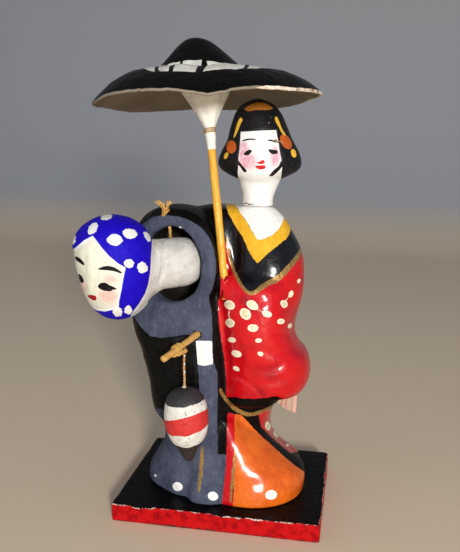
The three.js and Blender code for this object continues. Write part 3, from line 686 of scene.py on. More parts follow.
# Cream dots of the kimono and its train: place, half sizes, tilt
kimonoDots = [
    (-0.5, 115, 2.6, 3.2, 60), (-0.1, 104.4, 2.7, 2.5, -10), (12.5, 115.7, 3.6, 2.5, -25),
    (8.8, 110.3, 2.9, 3.6, 40), (21.1, 111, 2.9, 1.9, -15), (30.6, 117.3, 2.0, 2.3, 30),
    (34.4, 123.2, 1.3, 2.0, -20), (38.6, 130.9, 0.9, 1.4, -30), (29.2, 107.1, 2.2, 1.6, 10),
    (34.4, 104.8, 1.2, 1.5, -30), (13.3, 102.3, 3.1, 2.2, 5), (0.9, 94.4, 2.3, 1.5, -8),
    (16.6, 95.1, 2.1, 1.3, 10), (3.9, 86.2, 3.0, 1.9, -20), (17.9, 87.2, 1.8, 1.4, -15),
    (3.8, 77.2, 2.0, 1.3, -35)]
trainDots = [(23.2, 43.8, 1.7, 2.8, 8), (28, 39.3, 1.2, 2.2, 25), (34.9, 33, 1.0, 0.8, 0)]
backDots = [(4, 134, 2.4, 1.9, 10), (16, 131, 2.8, 2.1, -20), (28, 134, 2.2, 1.8, 15), (33, 126, 1.8, 2.2, 0),
            (1, 112, 2.0, 1.6, 0), (35, 106, 2.1, 1.6, 10), (6, 84, 2.6, 1.9, -15), (20, 81, 2.9, 2.1, 12),
            (32, 86, 2.1, 1.7, 0), (12, 71, 2.2, 1.6, 20), (27, 72, 2.5, 1.8, -10), (-1, 96, 1.9, 1.5, 0),
            (16, 40, 1.8, 2.5, 10), (26, 31, 1.6, 2.3, -12), (15, 20, 1.7, 2.0, 0), (30, 15, 1.6, 1.3, 0)]
links = least(strokePaint(sheet, [(-0.5, 112), (-0.9, 109), (-0.1, 106)], 0.25, 0),
              strokePaint(sheet, [(13.5, 114), (17, 112.6), (20, 111.5)], 0.25, 0),
              strokePaint(sheet, [(31.5, 119), (33.6, 122)], 0.25, 0))
cream = bothSides(least(links, ovals(sheet, kimonoDots + trainDots)), ovals(behind, backDots), facing)
whiteMarks = [(-31.3, -0.3, 3.2, 2.9, 0), (-9.2, -4.2, 3.2, 2.9, 0), (26.1, 0.5, 3.6, 3.0, 20),
              (-45.2, 5.5, 0.9, 0.8, 0), (-29.4, 158.4, 0.8, 0.8, 0)]
patch = outlinePaint(sheet, [(-20.1, 92.5), (-10.3, 93.1), (-9.9, 79.2), (-15, 77.6), (-19.1, 78)],
                     smooth=False)
whiteBack = ovals(behind, [(-30, 18, 2.6, 2.4, 0), (-14, 15, 2.4, 2.3, 0), (-40, 22, 1.2, 1.1, 0)])
white = least(skin, bothSides(least(patch, ovals(sheet, whiteMarks)), whiteBack, facing))

robePiece = addPiece("robe_forms", points, [faces], "robes", {
    "blue": blue, "red": red, "orange": orange, "collarBlack": collarBlack, "yellow": yellow, "gold": gold,
    "cream": cream, "white": white, "hollow": inHollow})

robeFinish = {
    "wobble": 0.5,      # how unsteady the painted edges are
    "black": (0.0012, 0.0011, 0.0011),
    "blue": (0.074, 0.085, 0.128),
    "red": (0.54, 0.002, 0.007),
    "deepRed": (0.26, 0.0, 0.010),
    "orange": (0.74, 0.135, 0.008),
    "yellow": (0.76, 0.43, 0.028),
    "gold": (0.25, 0.135, 0.035),
    "cream": (0.84, 0.75, 0.56),
    "white": (0.84, 0.83, 0.80),
    "hollow": (0.022, 0.018, 0.013),
}
look = robeFinish
paint = Paint("robePaint")
grain = paint.noise(1.1, 4)
lumps = paint.noise(5.0, 3)
ripple = paint.noise(2.4, 3)
brush = paint.noise(1.6, 3, at=paint.stretched(1, 1, 0.35), twist=0.8)
cloud = paint.noise(11, 4)
fleck = grain.ramp(0.6, 0.75)
wobble = (paint.noise(3.2, 3) - 0.5) * (2 * look["wobble"]) + (grain - 0.5) * 0.5
blueTint = paint.mix(cloud.ramp(0.3, 0.7), look["blue"], (0.045, 0.053, 0.082))
blueTint = paint.mix(brush.ramp(0.5, 0.72) * 0.55, blueTint, (0.115, 0.128, 0.178))
redTint = paint.mix(cloud.ramp(0.48, 0.85), look["red"], look["deepRed"])
redTint = paint.mix(brush.ramp(0.45, 0.8) * 0.4, redTint, (0.62, 0.012, 0.012))
orangeTint = paint.mix(cloud.ramp(0.35, 0.7), look["orange"], (0.60, 0.082, 0.006))
orangeTint = paint.mix(brush.ramp(0.5, 0.7) * 0.4, orangeTint, (0.84, 0.21, 0.02))
coats = [
    ("blue", blueTint, 0.72, 0.0),
    ("red", redTint, 0.34, 0.7),
    ("orange", orangeTint, 0.36, 0.75),
    ("collarBlack", (0.0018, 0.0018, 0.0040), 0.34, 0.7),
    ("yellow", paint.mix(brush.ramp(0.35, 0.8), look["yellow"], (0.70, 0.32, 0.014)), 0.5, 0.1),
]
colour = paint.mix(brush.ramp(0.4, 0.75), look["black"], (0.0045, 0.0042, 0.0038))
colour = paint.mix(fleck * 0.2, colour, (0.030, 0.028, 0.024))
rough, coat = 0.45, 0.07
for name, tint, dull, varnish in coats:
    over = paint.value(name).covers(wobble)
    colour = paint.mix(over, colour, tint)
    rough, coat = paint.between(over, rough, dull), paint.between(over, coat, varnish)
dry = paint.value("gold").covers(wobble) * brush.ramp(0.28, 0.46)
colour = paint.mix(dry, colour, paint.mix(grain.ramp(0.3, 0.7), look["gold"], (0.40, 0.25, 0.08)))
rough, metal = paint.between(dry, rough, 0.42), paint.between(dry, 0.0, 0.45)
for name, inner in (("cream", (0.64, 0.56, 0.34)), ("white", (0.76, 0.75, 0.71))):
    edge = paint.value(name) + wobble * 0.7
    over = edge.ramp(0.12, -0.12)
    tint = paint.mix(edge.ramp(-0.5, -1.3) * ripple.ramp(0.35, 0.6), look[name], inner)
    colour = paint.mix(over, colour, tint)
    rough = paint.between(over, rough, 0.6)
    metal = paint.between(over, metal, 0.0)
    coat = paint.between(over, coat, 0.05)
over = paint.value("hollow").covers(wobble)
colour = paint.mix(over, colour, look["hollow"])
rough, coat = paint.between(over, rough, 0.85), paint.between(over, coat, 0.0)
relief = lumps * 0.75 + ripple * 0.5 + grain * 0.16 + brush * 0.15
dress(robePiece, paint.finish(relief, 0.75, Base_Color=colour,
                              Roughness=(rough + (grain - 0.5) * 0.12).clamp(), Metallic=metal,
                              Coat_Weight=coat, Coat_Roughness=0.17, Specular_IOR_Level=0.1))
print("robes painted")

# The woman's head

womanHead = {
    "step": 0.42,
    "height": 56.5,
    "halfWidth": 22.2,
    "hairRise": 0.55,      # how far the hair's paint and paper stand over the face
    "hair": (0.0042, 0.0042, 0.0056),
    "face": (0.80, 0.80, 0.79),
    "pink": (0.64, 0.18, 0.29),
    "lips": (0.66, 0.018, 0.026),
    "pins": (0.85, 0.50, 0.045),
    "pinBalls": (0.56, 0.11, 0.016),
    "crownPatch": (0.34, 0.12, 0.012),
}
h, w = womanHead["height"], womanHead["halfWidth"]
womanForm = [(z * h, x * w, y * w, a * w, b * w, n) for z, x, y, a, b, n in [
    (0, -0.01, 0, 0.40, 0.38, 2), (0.05, 0.005, 0, 0.375, 0.365, 2), (0.12, 0.02, -0.02, 0.40, 0.38, 2),
    (0.22, 0.035, -0.04, 0.495, 0.46, 2), (0.265, 0.035, -0.04, 0.55, 0.58, 2), (0.3, 0.03, 0, 0.72, 0.7, 2),
    (0.35, 0.04, 0.02, 0.93, 0.78, 2.1),
    (0.41, 0.04, 0.02, 1, 0.83, 2.1), (0.51, 0.04, 0.02, 0.93, 0.83, 2.1),
    (0.62, 0.03, 0.02, 0.78, 0.79, 2.1), (0.75, 0, 0.02, 0.66, 0.71, 2.1),
    (0.87, -0.02, 0.02, 0.53, 0.58, 2.1), (0.95, -0.03, 0.02, 0.36, 0.4, 2.1), (1, -0.04, 0.02, 0.1, 0.1, 2)]]
womanFoot = neckSeat + np.array([0, 0, 0.3])


# The foot of the neck is uneven, so that the seam over the shoulders shows as a thin crack
def womanField(p):
    q = p - womanFoot
    uneven = (0.35 + 0.75 * softNoise(p * [1, 1, 0], 4.5, 13)) * blended(5, 0, q[..., 2])
    q = np.stack([q[..., 0], q[..., 1], q[..., 2] + uneven], -1)
    total = carried(womanForm, q, round=1.5)
    lumps = 0.22 * softNoise(p, 8, 11) + 0.12 * softNoise(p, 3.5, 12)
    total = total + lumps
    return smoothLeast(total, rodField(p, womanFoot, np.array([0, 0, 1.0]), -4.7, 4, 6.9), 0.6)


points, faces = skinOfField(womanField, (-9, -20, 166), (39, 22, 230.5), womanHead["step"])
outward, facing = facingOf(points, womanField)
sheet, behind = onSheet(points), points[:, [0, 2]]
faceLine = [(4.7, 211.8), (9.6, 212.1), (16.2, 212.6), (23.8, 212.9), (24.7, 208.3), (25.4, 205.3),
            (26.2, 200.8), (26.9, 197.1), (27.5, 193.2), (27.2, 189.1), (27, 186.2), (60, 186.5), (60, 150),
            (-30, 150), (-30, 187), (3.7, 186.7), (3.3, 190.2), (3.5, 192.7), (3.6, 196.6), (4.1, 202),
            (4.5, 208)]
face = outlinePaint(sheet, faceLine, smooth=False)
under = points[:, 2] - 186.8 + 0.5 * softNoise(points, 5, 15)
bare = least(most(face, -facing * sideEdge), under)
hairShift = womanHead["hairRise"] * blended(-0.3, 0.7, bare) * blended(170, 178, points[:, 2])
# Low relief of the face on the sheet: place, half sizes, tilt, height
faceRelief = [(15.4, 200.5, 2.6, 5.5, 0, 0.32), (15.6, 197.4, 2.4, 1.8, 0, 0.25),
              (15.8, 194.4, 3.2, 2.2, 0, 0.25), (8.2, 196.5, 5.5, 5.5, 0, 0.3),
              (23.2, 196.5, 5.0, 5.5, 0, 0.3), (15.4, 189.5, 4.5, 2.5, 0, 0.25),
              (8.7, 201, 3.6, 2.0, 8, -0.25), (22.3, 201.3, 3.6, 2.0, 0, -0.25)]
rise = lowRelief(sheet, faceRelief)
points = points + outward * (hairShift + rise * blended(0.05, 0.3, facing))[:, None]
bare = np.where(points[:, 2] < 175, -5, bare)

strands = outlines(
    sheet,
    [(3.6, 196.6), (4.2, 195.6), (5.8, 193.9), (8.1, 191.2), (7.6, 190.2), (6.3, 190.6), (4.6, 193.1),
     (3.4, 194.2)],
    [(26.9, 196.6), (25.5, 193.9), (23.2, 191.9), (21.3, 189.5), (20.5, 188.8), (22.1, 188.3),
     (24, 189.6), (27, 192.8), (27.8, 194.7)],
    [(5.6, 207.3), (7.6, 208.1), (10.5, 208.4), (12.7, 208), (12.5, 207.5), (10.5, 207.6), (8, 207.3),
     (5.6, 206.8)],
    [(19.5, 207.7), (21.2, 207.9), (23.6, 207.3), (25.9, 206.8), (26.1, 206.2), (23.6, 206.5),
     (21.2, 207), (19.7, 207.2)],
    [(6.4, 200.1), (7.4, 201.4), (9.6, 202.4), (10.9, 201.8), (10.6, 201.1), (9.3, 199.6), (8, 199.3),
     (6.5, 199.5)],
    [(19.7, 202.6), (21.3, 202.7), (24.5, 202.3), (25, 201.5), (24.6, 200.5), (22.6, 200.1), (21, 200.8)])
lips = outlines(
    sheet,
    [(13.9, 196.1), (15.1, 196), (16.4, 196.9), (17.6, 196.8), (18.1, 195.7), (17.3, 195), (15.4, 194.8),
     (14.1, 195.3)],
    [(12.8, 193.6), (14.1, 194), (16.5, 194.2), (18, 194.1), (18.6, 193.4), (17.9, 192.3), (15.3, 191.9),
     (13.8, 192.5)])
blush = least(ovalPaint(sheet, 6.6, 200.5, 3.4, 6.5, 8), ovalPaint(sheet, 8.4, 196.2, 4.4, 3.6) - 0.8,
              ovalPaint(sheet, 23.6, 199, 3.4, 6.2, -6) + 0.6)
pins = least(outlinePaint(sheet, [(4.6, 219.1), (5.7, 218.1), (4.7, 215.7), (3.2, 211.9), (1.6, 208.8),
                                  (1.1, 209.2), (2, 212.6), (3.1, 216.5)]),
             outlinePaint(sheet, [(22.7, 219.4), (23.7, 219.6), (24.9, 217.4), (26.5, 213.6), (28.5, 210.6),
                                  (28.2, 209.7), (26.6, 211.2), (24.6, 214.7), (22.9, 217.7)]),
             ovalPaint(sheet, -3, 198.9, 1.0, 1.9, -25), ovalPaint(sheet, 33.2, 200.6, 1.3, 2.3, 20))
pinBalls = least(ovalPaint(sheet, -0.2, 203.6, 2.7, 3.5, 0), ovalPaint(sheet, 28.9, 206.6, 2.5, 4.4, 35))
# Chips: at the end of the right brow, on the fringe, and along the seam at the foot of the neck
chips = least(ovalPaint(sheet, 23.6, 207.2, 1.0, 0.9),
              strokePaint(sheet, [(24, 207.2), (26.2, 206.6), (27.4, 205.6)], 0.22),
              ovalPaint(sheet, 19.6, 216.6, 0.35, 0.35), ovalPaint(sheet, 20.5, 219.6, 0.3, 0.3),
              strokePaint(sheet, [(5.2, 173.4), (6.8, 172.9), (8.2, 173.3), (10, 172.6), (12.6, 173)],
                          0.34, 0.2))
crownPatch = outlinePaint(sheet, [(6.7, 223.6), (8.5, 225.1), (11.2, 226.4), (13.9, 227), (17, 226.6),
                                  (19.7, 225.5), (21.5, 223.9), (19.4, 223.3), (16.3, 223.1), (12.4, 223.1),
                                  (8.9, 222.5)])
backComb = least(ovalPaint(behind, 15, 214, 9, 1.6), strokePaint(behind, [(7, 209), (15, 207.5), (23, 209)],
                                                                 0.9, 0.3))
away = -facing * sideEdge + 1
womanPiece = addPiece("woman_head_form", points, [faces], "woman_head", {
    "bare": bare, "strands": most(strands, away), "lips": most(lips, away), "blush": blush,
    "pins": least(most(pins, away), most(backComb, facing * sideEdge)), "pinBalls": most(pinBalls, away),
    "crownPatch": most(crownPatch, away), "chips": most(chips, away)})

look = womanHead
paint = Paint("womanPaint")
grain, lumps = paint.noise(1.1, 4), paint.noise(4.5, 3)
brush = paint.noise(0.8, 3, at=paint.stretched(1, 1, 0.25), twist=0.3)
wobble = (paint.noise(2.4, 3) - 0.5) * 0.4 + (grain - 0.5) * 0.2
fine = wobble * 0.4
skinTint = paint.mix(lumps.ramp(0.4, 0.8), look["face"], (0.76, 0.75, 0.72))
skinTint = paint.mix(paint.value("blush").ramp(1.8, -2.4) * (brush.ramp(0.25, 0.6) * 0.7 + 0.3) * 0.8,
                     skinTint, look["pink"])
colour = paint.mix(brush.ramp(0.4, 0.8), look["hair"], (0.012, 0.012, 0.015))
over = paint.value("bare").covers(fine)
colour = paint.mix(over, colour, skinTint)
rough = paint.between(over, 0.5, 0.62)
marks = [("strands", look["hair"], 0.7), ("lips", look["lips"], 0.55), ("pinBalls", look["pinBalls"], 0.55),
         ("pins", look["pins"], 0.5), ("crownPatch", look["crownPatch"], 0.55)]
for name, tint, dull in marks:
    over = paint.value(name).covers(fine, 0.1)
    shade = paint.mix(grain.ramp(0.35, 0.7), tint, tuple(0.75 * c for c in tint))
    colour = paint.mix(over, colour, shade)
    rough = paint.between(over, rough, dull)
speck = paint.noise(0.9, 2).ramp(0.70, 0.76)
colour = paint.mix(speck * 0.8, colour, (0.36, 0.28, 0.18))
chip = paint.value("chips").covers(wobble * 1.2, 0.15)
colour = paint.mix(chip, colour, paint.mix(grain.ramp(0.4, 0.6), (0.50, 0.36, 0.20), (0.03, 0.02, 0.015)))
relief = lumps * 0.7 + grain * 0.22 - chip * 0.5
dress(womanPiece, paint.finish(relief, 0.45, Base_Color=colour, Roughness=rough, Specular_IOR_Level=0.22))
print("woman's head", len(points), "points")

# The man's head

manHead = {
    "step": 0.46,
    "height": 54.6,
    "halfWidth": 22.0,
    "cloth": (0.009, 0.0003, 0.46),
    "face": (0.76, 0.745, 0.62),
    "neck": (0.62, 0.60, 0.565),
    "dots": (0.84, 0.83, 0.79),
    "pink": (0.82, 0.34, 0.32),
    "ink": (0.006, 0.005, 0.006),
    "lips": (0.36, 0.008, 0.010),
}
manMiddle = np.array([-55.5, -38.5, 131.1 + boardTop])
manNeckEnd = np.array([-15.5, -7.5, 131.5 + boardTop])
neckRadius = manHead["height"] * 0.25
neckReach = np.linalg.norm(manMiddle - manNeckEnd)
neckLine = (manMiddle - manNeckEnd) / neckReach
neckAcross = np.cross([0, 0, 1], neckLine)
neckAcross /= np.linalg.norm(neckAcross)
neckTurn = np.stack([neckAcross, np.cross(neckLine, neckAcross), neckLine], 1)
h, w = manHead["height"], manHead["halfWidth"]
manEgg = [(z * h, x * w, y * w, a * w, b * w, 2) for z, x, y, a, b in [
    (0, 0.1, 0.02, 0.12, 0.12), (0.05, 0.1, 0.02, 0.41, 0.4), (0.15, 0.09, 0.02, 0.67, 0.64),
    (0.3, 0.085, 0.01, 0.835, 0.82), (0.45, 0.08, 0, 0.905, 0.9), (0.58, 0.05, 0, 0.94, 0.93),
    (0.68, 0.02, 0, 0.945, 0.93), (0.8, 0, 0, 0.87, 0.84), (0.9, 0, 0, 0.68, 0.66), (0.97, 0, 0, 0.4, 0.4),
    (1, 0, 0, 0.12, 0.12)]]
manNeck = [(z * neckReach, x * neckRadius, y * neckRadius, a * neckRadius, b * neckRadius, 2)
           for z, x, y, a, b in [
    (0, 0, 0, 0.2, 0.2), (0.02, 0, 0, 0.5, 0.5), (0.08, 0, 0, 0.8, 0.8), (0.18, 0, 0, 0.97, 0.97),
    (0.32, 0, 0, 1, 1), (0.48, 0, -0.02, 0.98, 1), (0.6, 0, -0.12, 1, 1.12), (0.75, 0, -0.2, 1.08, 1.35),
    (1, 0, -0.1, 0.9, 1.2)]]


def manField(p):
    egg = carried(manEgg, p - manMiddle + np.array([0, 0, manHead["height"] / 2]), round=1.5)
    neck = carried(manNeck, p, neckTurn, manNeckEnd, round=1.5)
    lumps = 0.25 * softNoise(p, 9, 21) + 0.15 * softNoise(p, 4, 22)
    return smoothLeast(egg, neck, 2.2) + lumps


points, faces = skinOfField(manField, (-80, -61, 112), (-11, 1, 170), manHead["step"])
outward, facing = facingOf(points, manField)
sheet = onSheet(points)
faceEdge = outlinePaint(sheet, [(-81.6, 151.1), (-76.7, 144.7), (-72.2, 139.9), (-66.7, 135.7),
                                (-62.7, 133.7), (-63.8, 129.5), (-65.1, 122.4), (-66.9, 114.4),
                                (-67.2, 110.9), (-70.3, 109.2), (-75, 107.9), (-79.1, 108.1), (-82, 109),
                                (-92, 108), (-105, 115), (-105, 139), (-95, 142), (-91, 144.6),
                                (-86.8, 148.2)], smooth=False)
# The back edge of the cloth, where it meets the neck: a plane across the head, and the drawn line in front
clothBack = outlinePaint(sheet, [(-44.5, 165), (-45.7, 153), (-46.1, 147.2), (-46.5, 142), (-47.1, 132.2),
                                 (-48.4, 124.9), (-50.3, 119.3), (-53.7, 113.3), (-58.5, 106.8), (-62, 98),
                                 (20, 98), (20, 165)], smooth=False)
headward = (points - manMiddle) @ neckLine
neck = bothSides(clothBack, headward + 16 + 0.8 * softNoise(points, 7, 24), facing)
face = most(faceEdge, -(facing + 0.12) * sideEdge)
# The nose, brows and cheeks stand out a little: place, half sizes, tilt, height
faceRelief = [(-84.2, 130, 2.2, 11, 0, 0.34), (-84, 122.5, 2.2, 2.2, 0, 0.25), (-74, 117, 5, 5, 0, 0.35),
              (-83.3, 115.5, 3.4, 2.4, 0, 0.25), (-74, 122, 4.5, 2.6, -10, -0.3)]
rise = lowRelief(sheet, faceRelief)
clothRise = 0.5 * blended(-0.2, 0.8, face) * blended(-0.2, 0.8, neck)
points = points + outward * (clothRise + rise * blended(0.05, 0.3, facing))[:, None]
crease = strokePaint(sheet, [(-39.6, 151), (-38.9, 143), (-39.5, 133), (-41.5, 127)], 1.2, 0.4)
points = points - outward * (0.7 * blended(1.2, -0.8, crease) * blended(0.05, 0.3, facing))[:, None]


def ballPaint(p, x, y, z, r):
    return np.linalg.norm(p - np.array([x, y, z]), axis=1) - r


frontDots = [(-73.2, 162.5, 3.6, 1.6, 12), (-81.3, 155.7, 2.2, 4.2, -38), (-68.4, 149.9, 4.6, 3.4, 5),
             (-59.3, 153.6, 4.2, 2.9, -3), (-49.2, 152.3, 1.6, 3.0, 32), (-60.1, 136.5, 3.0, 2.6, 0),
             (-52.3, 134.4, 3.1, 3.3, 0), (-67.5, 107.6, 2.9, 2.7, 0), (-61.1, 109.1, 2.3, 2.6, 0),
             (-93.2, 148.9, 1.4, 2.9, -20)]
backDots = [(-75.3, -34.5, 151.5, 3.8), (-72.5, -25.5, 138, 3.6), (-60.5, -20.2, 149, 3.9),
            (-48, -21, 158, 3.2), (-64, -28, 161.5, 3.0), (-59, -20, 131, 3.2), (-68, -32, 124, 2.8),
            (-43, -30, 163, 2.8)]
dots = least(bothSides(ovals(sheet, frontDots), np.full(len(points), 50.0), facing),
             *(ballPaint(points, *dot) for dot in backDots))
lines = least(np.abs(face) - 0.5, np.abs(neck) - 0.6)
ink = outlines(
    sheet,
    [(-92.8, 139.2), (-90, 138.2), (-87.6, 135.6), (-87.8, 134.1), (-90.6, 135.7), (-92.6, 137.2)],
    [(-78.9, 132.6), (-73.9, 134.4), (-69.1, 133.8), (-64.6, 131.2), (-65.2, 130.4), (-69.8, 131.5),
     (-73.9, 131.8), (-78.2, 131.9)],
    [(-91.7, 128.2), (-90.3, 128.7), (-88.5, 126.5), (-88, 124.3), (-89.4, 123.5), (-91.1, 125.4)],
    [(-79.3, 122.3), (-77.7, 123.9), (-74.6, 124.3), (-72.4, 123), (-70.2, 122.3), (-67.6, 120.9),
     (-70.2, 120.3), (-71.6, 119.4), (-74.2, 119.5), (-76.7, 119.9), (-78.8, 120.8)])
mouth = outlinePaint(sheet, [(-85.8, 116.2), (-83, 116.7), (-80.5, 115.9), (-80.7, 113.6), (-82.6, 113.5),
                             (-85.2, 115.2)])
blush = least(ovalPaint(sheet, -72.8, 117.2, 5.6, 4.6), ovalPaint(sheet, -71.5, 126.5, 5.0, 3.4) + 0.8,
              ovalPaint(sheet, -90, 121, 3.0, 5.5))
away = -facing * sideEdge + 1
manPiece = addPiece("man_head_form", points, [faces], "man_head", {
    "cloth": most(-face, -neck), "dots": dots, "lines": lines, "ink": most(ink, away),
    "mouth": most(mouth, away), "blush": blush, "throat": neck})

look = manHead
paint = Paint("manPaint")
grain, lumps = paint.noise(1.1, 4), paint.noise(4.5, 3)
brush = paint.noise(1.2, 3, at=paint.stretched(1, 1, 0.35), twist=0.3)
wobble = (paint.noise(2.4, 3) - 0.5) * 0.5 + (grain - 0.5) * 0.25
fine = wobble * 0.4
scallop = (paint.noise(1.7, 2) - 0.5) * 2.2 + (grain - 0.5) * 0.5
colour = paint.mix(lumps.ramp(0.35, 0.75), look["face"], (0.72, 0.70, 0.57))
colour = paint.mix(paint.value("blush").ramp(2.4, -2.6) * (brush.ramp(0.25, 0.65) * 0.6 + 0.4) * 0.7,
                   colour, look["pink"])
throat = paint.mix(lumps.ramp(0.4, 0.75), look["neck"], (0.50, 0.475, 0.43))
colour = paint.mix(paint.value("throat").covers(fine), colour, throat)
colour = paint.mix(paint.noise(1.2, 2).ramp(0.69, 0.75) * 0.7, colour, (0.30, 0.26, 0.19))
over = paint.value("cloth").covers(fine)
cloth = paint.mix(brush.ramp(0.4, 0.85), look["cloth"], (0.007, 0.0003, 0.34))
colour = paint.mix(over, colour, cloth)
rough = paint.between(over, 0.55, 0.62)
for name, tint, soft in (("lines", look["dots"], 0.2), ("dots", look["dots"], 0.12),
                         ("ink", look["ink"], 0.1), ("mouth", look["lips"], 0.1)):
    over = paint.value(name).covers(scallop if name == "dots" else fine, soft)
    shade = paint.mix(grain.ramp(0.35, 0.7), tint, tuple(0.85 * c for c in tint))
    colour = paint.mix(over, colour, shade)
    if name == "dots":
        thick = over * 0.5
relief = lumps * 1.2 + grain * 0.3 + thick
dress(manPiece, paint.finish(relief, 0.5, Base_Color=colour, Roughness=rough, Specular_IOR_Level=0.15))
print("man's head", len(points), "points")

# Tubes and turned forms


# A closed skin through rings of points, rings by sides by 3, with a hub at each end
def ringSkin(rings):
    count, sides = rings.shape[:2]
    index = np.arange(count * sides).reshape(count, sides)
    after = np.roll(index, -1, 1)
    quads = np.stack([index[:-1], after[:-1], after[1:], index[1:]], -1).reshape(-1, 4)
    hubs = count * sides + np.arange(2)
    first = np.stack([np.full(sides, hubs[0]), after[0], index[0]], 1)
    last = np.stack([np.full(sides, hubs[1]), index[-1], after[-1]], 1)
    points = np.vstack([rings.reshape(-1, 3), rings[0].mean(0), rings[-1].mean(0)])
    return points, [quads, np.vstack([first, last])]


# Points of a smooth curve through places, evenly counted
def smoothPath(places, count):
    p = np.asarray(places, float)
    t = np.linspace(0, len(p) - 1, count)
    i = np.clip(t.astype(int), 0, len(p) - 2)
    f = (t - i)[:, None]
    a, b = p[i], p[i + 1]
    sa = (b - p[np.maximum(i - 1, 0)]) * np.where(i > 0, 0.5, 1.0)[:, None]
    sb = (p[np.minimum(i + 2, len(p) - 1)] - a) * np.where(i < len(p) - 2, 0.5, 1.0)[:, None]
    f2, f3 = f * f, f * f * f
    return a * (2 * f3 - 3 * f2 + 1) + sa * (f3 - 2 * f2 + f) + b * (3 * f2 - 2 * f3) + sb * (f3 - f2)


# Two directions square to a path at each of its points, the first kept square to a given direction
def acrossPath(path, reference=(0, 0, 1)):
    along = np.gradient(path, axis=0)
    along /= np.linalg.norm(along, axis=1)[:, None]
    first = np.cross(np.asarray(reference, float), along)
    first /= np.maximum(np.linalg.norm(first, axis=1), 1e-9)[:, None]
    return first, np.cross(along, first)


# A tube along a path: a ring of its radius square to the path at each point
def tubeRings(path, radius, sides=12, reference=(0, 0, 1), flat=1.0):
    first, second = acrossPath(path, reference)
    angle = np.linspace(0, 2 * math.pi, sides, endpoint=False)[None, :, None]
    radius = np.broadcast_to(np.asarray(radius, float), len(path))[:, None, None]
    return path[:, None] + radius * (np.cos(angle) * first[:, None] + flat * np.sin(angle) * second[:, None])


# Strands that wind round a path side by side: each is a tube on a helix of its own start angle
def twistedRings(path, strandRadius, strands, turns, sides=8, reference=(0, 0, 1), start=0.0):
    first, second = acrossPath(path, reference)
    share = np.linspace(0, 1, len(path))
    made = []
    for k in range(strands):
        angle = (2 * math.pi * (turns * share + k / strands) + start)[:, None]
        middle = path + strandRadius * 0.95 * (np.cos(angle) * first + np.sin(angle) * second)
        made.append(tubeRings(middle, strandRadius, sides, reference))
    return made


# Several ring skins as one mesh, each with its own number for the paint
def joined(parts):
    points, quads, tris, number = [], [], [], []
    start = 0
    for k, rings in enumerate(parts):
        p, (q, t) = ringSkin(rings)
        points.append(p)
        quads.append(q + start)
        tris.append(t + start)
        number.append(np.full(len(p), float(k)))
        start += len(p)
    return np.vstack(points), [np.vstack(quads), np.vstack(tris)], np.concatenate(number)


# Rings round an axis: radius by height, stood along a direction at a place
def turnedRings(place, line, radius, height, sides=96):
    across = np.cross([0, 0, 1], line)
    across = across / np.linalg.norm(across) if np.linalg.norm(across) > 1e-6 else np.array([1.0, 0, 0])
    third = np.cross(line, across)
    angle = np.linspace(0, 2 * math.pi, sides, endpoint=False)
    radius = np.broadcast_to(radius[:, None] if radius.ndim == 1 else radius, (len(height), sides))
    round = np.cos(angle)[:, None] * across + np.sin(angle)[:, None] * third
    return place + radius[..., None] * round[None] + (height[:, None] * line)[:, None]


# The canopy

canopy = {
    "radius": 60.6, "rise": 14.0, "crownRadius": 24.0, "crownRise": 18.2, "wall": 2.2,
    "crownShift": -5.9,    # the crown sits a little off the middle
    "tilt": (-2.4, -2.6),  # degrees about X and Y
    "black": (0.0012, 0.0011, 0.0010),
    "band": (0.70, 0.68, 0.60),
    "paper": (0.27, 0.232, 0.182),
    "rim": (0.58, 0.43, 0.33),
}
# How far the rim is bent up or down, by degrees round it
rimRows = [(-180, -0.1), (-152, -1.3), (-143, -0.8), (-135, 0.2), (-125, 0.7), (-105, 0.4), (-95, -0.3),
           (-84, -1.9), (-78, -3.1), (-71, -2.1), (-63, -0.4), (-54, 0.1), (-36, 0), (-20, 0.7), (-8, 0.9),
           (11, 2.0), (30, 2.0), (45, 0.7), (56, 0.1), (85, 1), (110, 2.2), (126, 1.2), (150, -0.5),
           (168, 0.1), (180, -0.1)]
poleLength = 109.0
poleHead = poleFoot + poleLine * poleLength
canopyMiddle = poleHead + np.array([1.2, 0.9, -10.5])
tx, ty = (math.radians(a) for a in canopy["tilt"])
canopyTurn = (np.array([[1, 0, 0], [0, math.cos(tx), -math.sin(tx)], [0, math.sin(tx), math.cos(tx)]])
              @ np.array([[math.cos(ty), 0, math.sin(ty)], [0, 1, 0], [-math.sin(ty), 0, math.cos(ty)]]))


# Height of the canopy's outside over its rim: a cosine crown on a brim that falls off by a power
def canopyHeight(d):
    c = canopy
    brim = c["rise"] * (1 - (np.maximum(d - c["crownRadius"], 0) / (c["radius"] - c["crownRadius"])) ** 2.8)
    crown = c["rise"] + c["crownRise"] * np.cos(math.pi / 2 * np.minimum(d / c["crownRadius"], 1)) ** 1.1
    return np.where(d > c["crownRadius"], brim, crown)


def rimWave(degrees, d):
    return np.interp(degrees, *zip(*rimRows)) * np.clip(d / canopy["radius"], 0, 1) ** 2.8


# The canopy as one closed skin: from its peak down the outside, round the torn rim and back up the inside.
# A place is a distance and an angle, at the height above less the wall, with a slow wave round the rim.
sides = 360
c = canopy
outside = np.concatenate([np.linspace(0.4, c["radius"] - 1.2, 96),
                          c["radius"] - 0.6 * np.linspace(1.2, 0, 5)])
inside = np.linspace(c["radius"] - 0.5, 0.4, 80)
distance = np.concatenate([outside, [c["radius"] + 0.1], inside])
drop = np.concatenate([np.zeros(len(outside)), [c["wall"] * 0.55], np.full(len(inside), c["wall"])])
angle = np.linspace(0, 2 * math.pi, sides, endpoint=False)
d, a = np.meshgrid(distance, angle, indexing="ij")
rimShare = np.clip(d / c["radius"], 0, 1)
ringNoise = np.stack([np.cos(a) * 3, np.sin(a) * 3, np.zeros_like(a)], -1)
torn = (0.5 * softNoise(ringNoise, 0.35, 31) + 0.5 * softNoise(ringNoise, 0.12, 32)) * rimShare**14
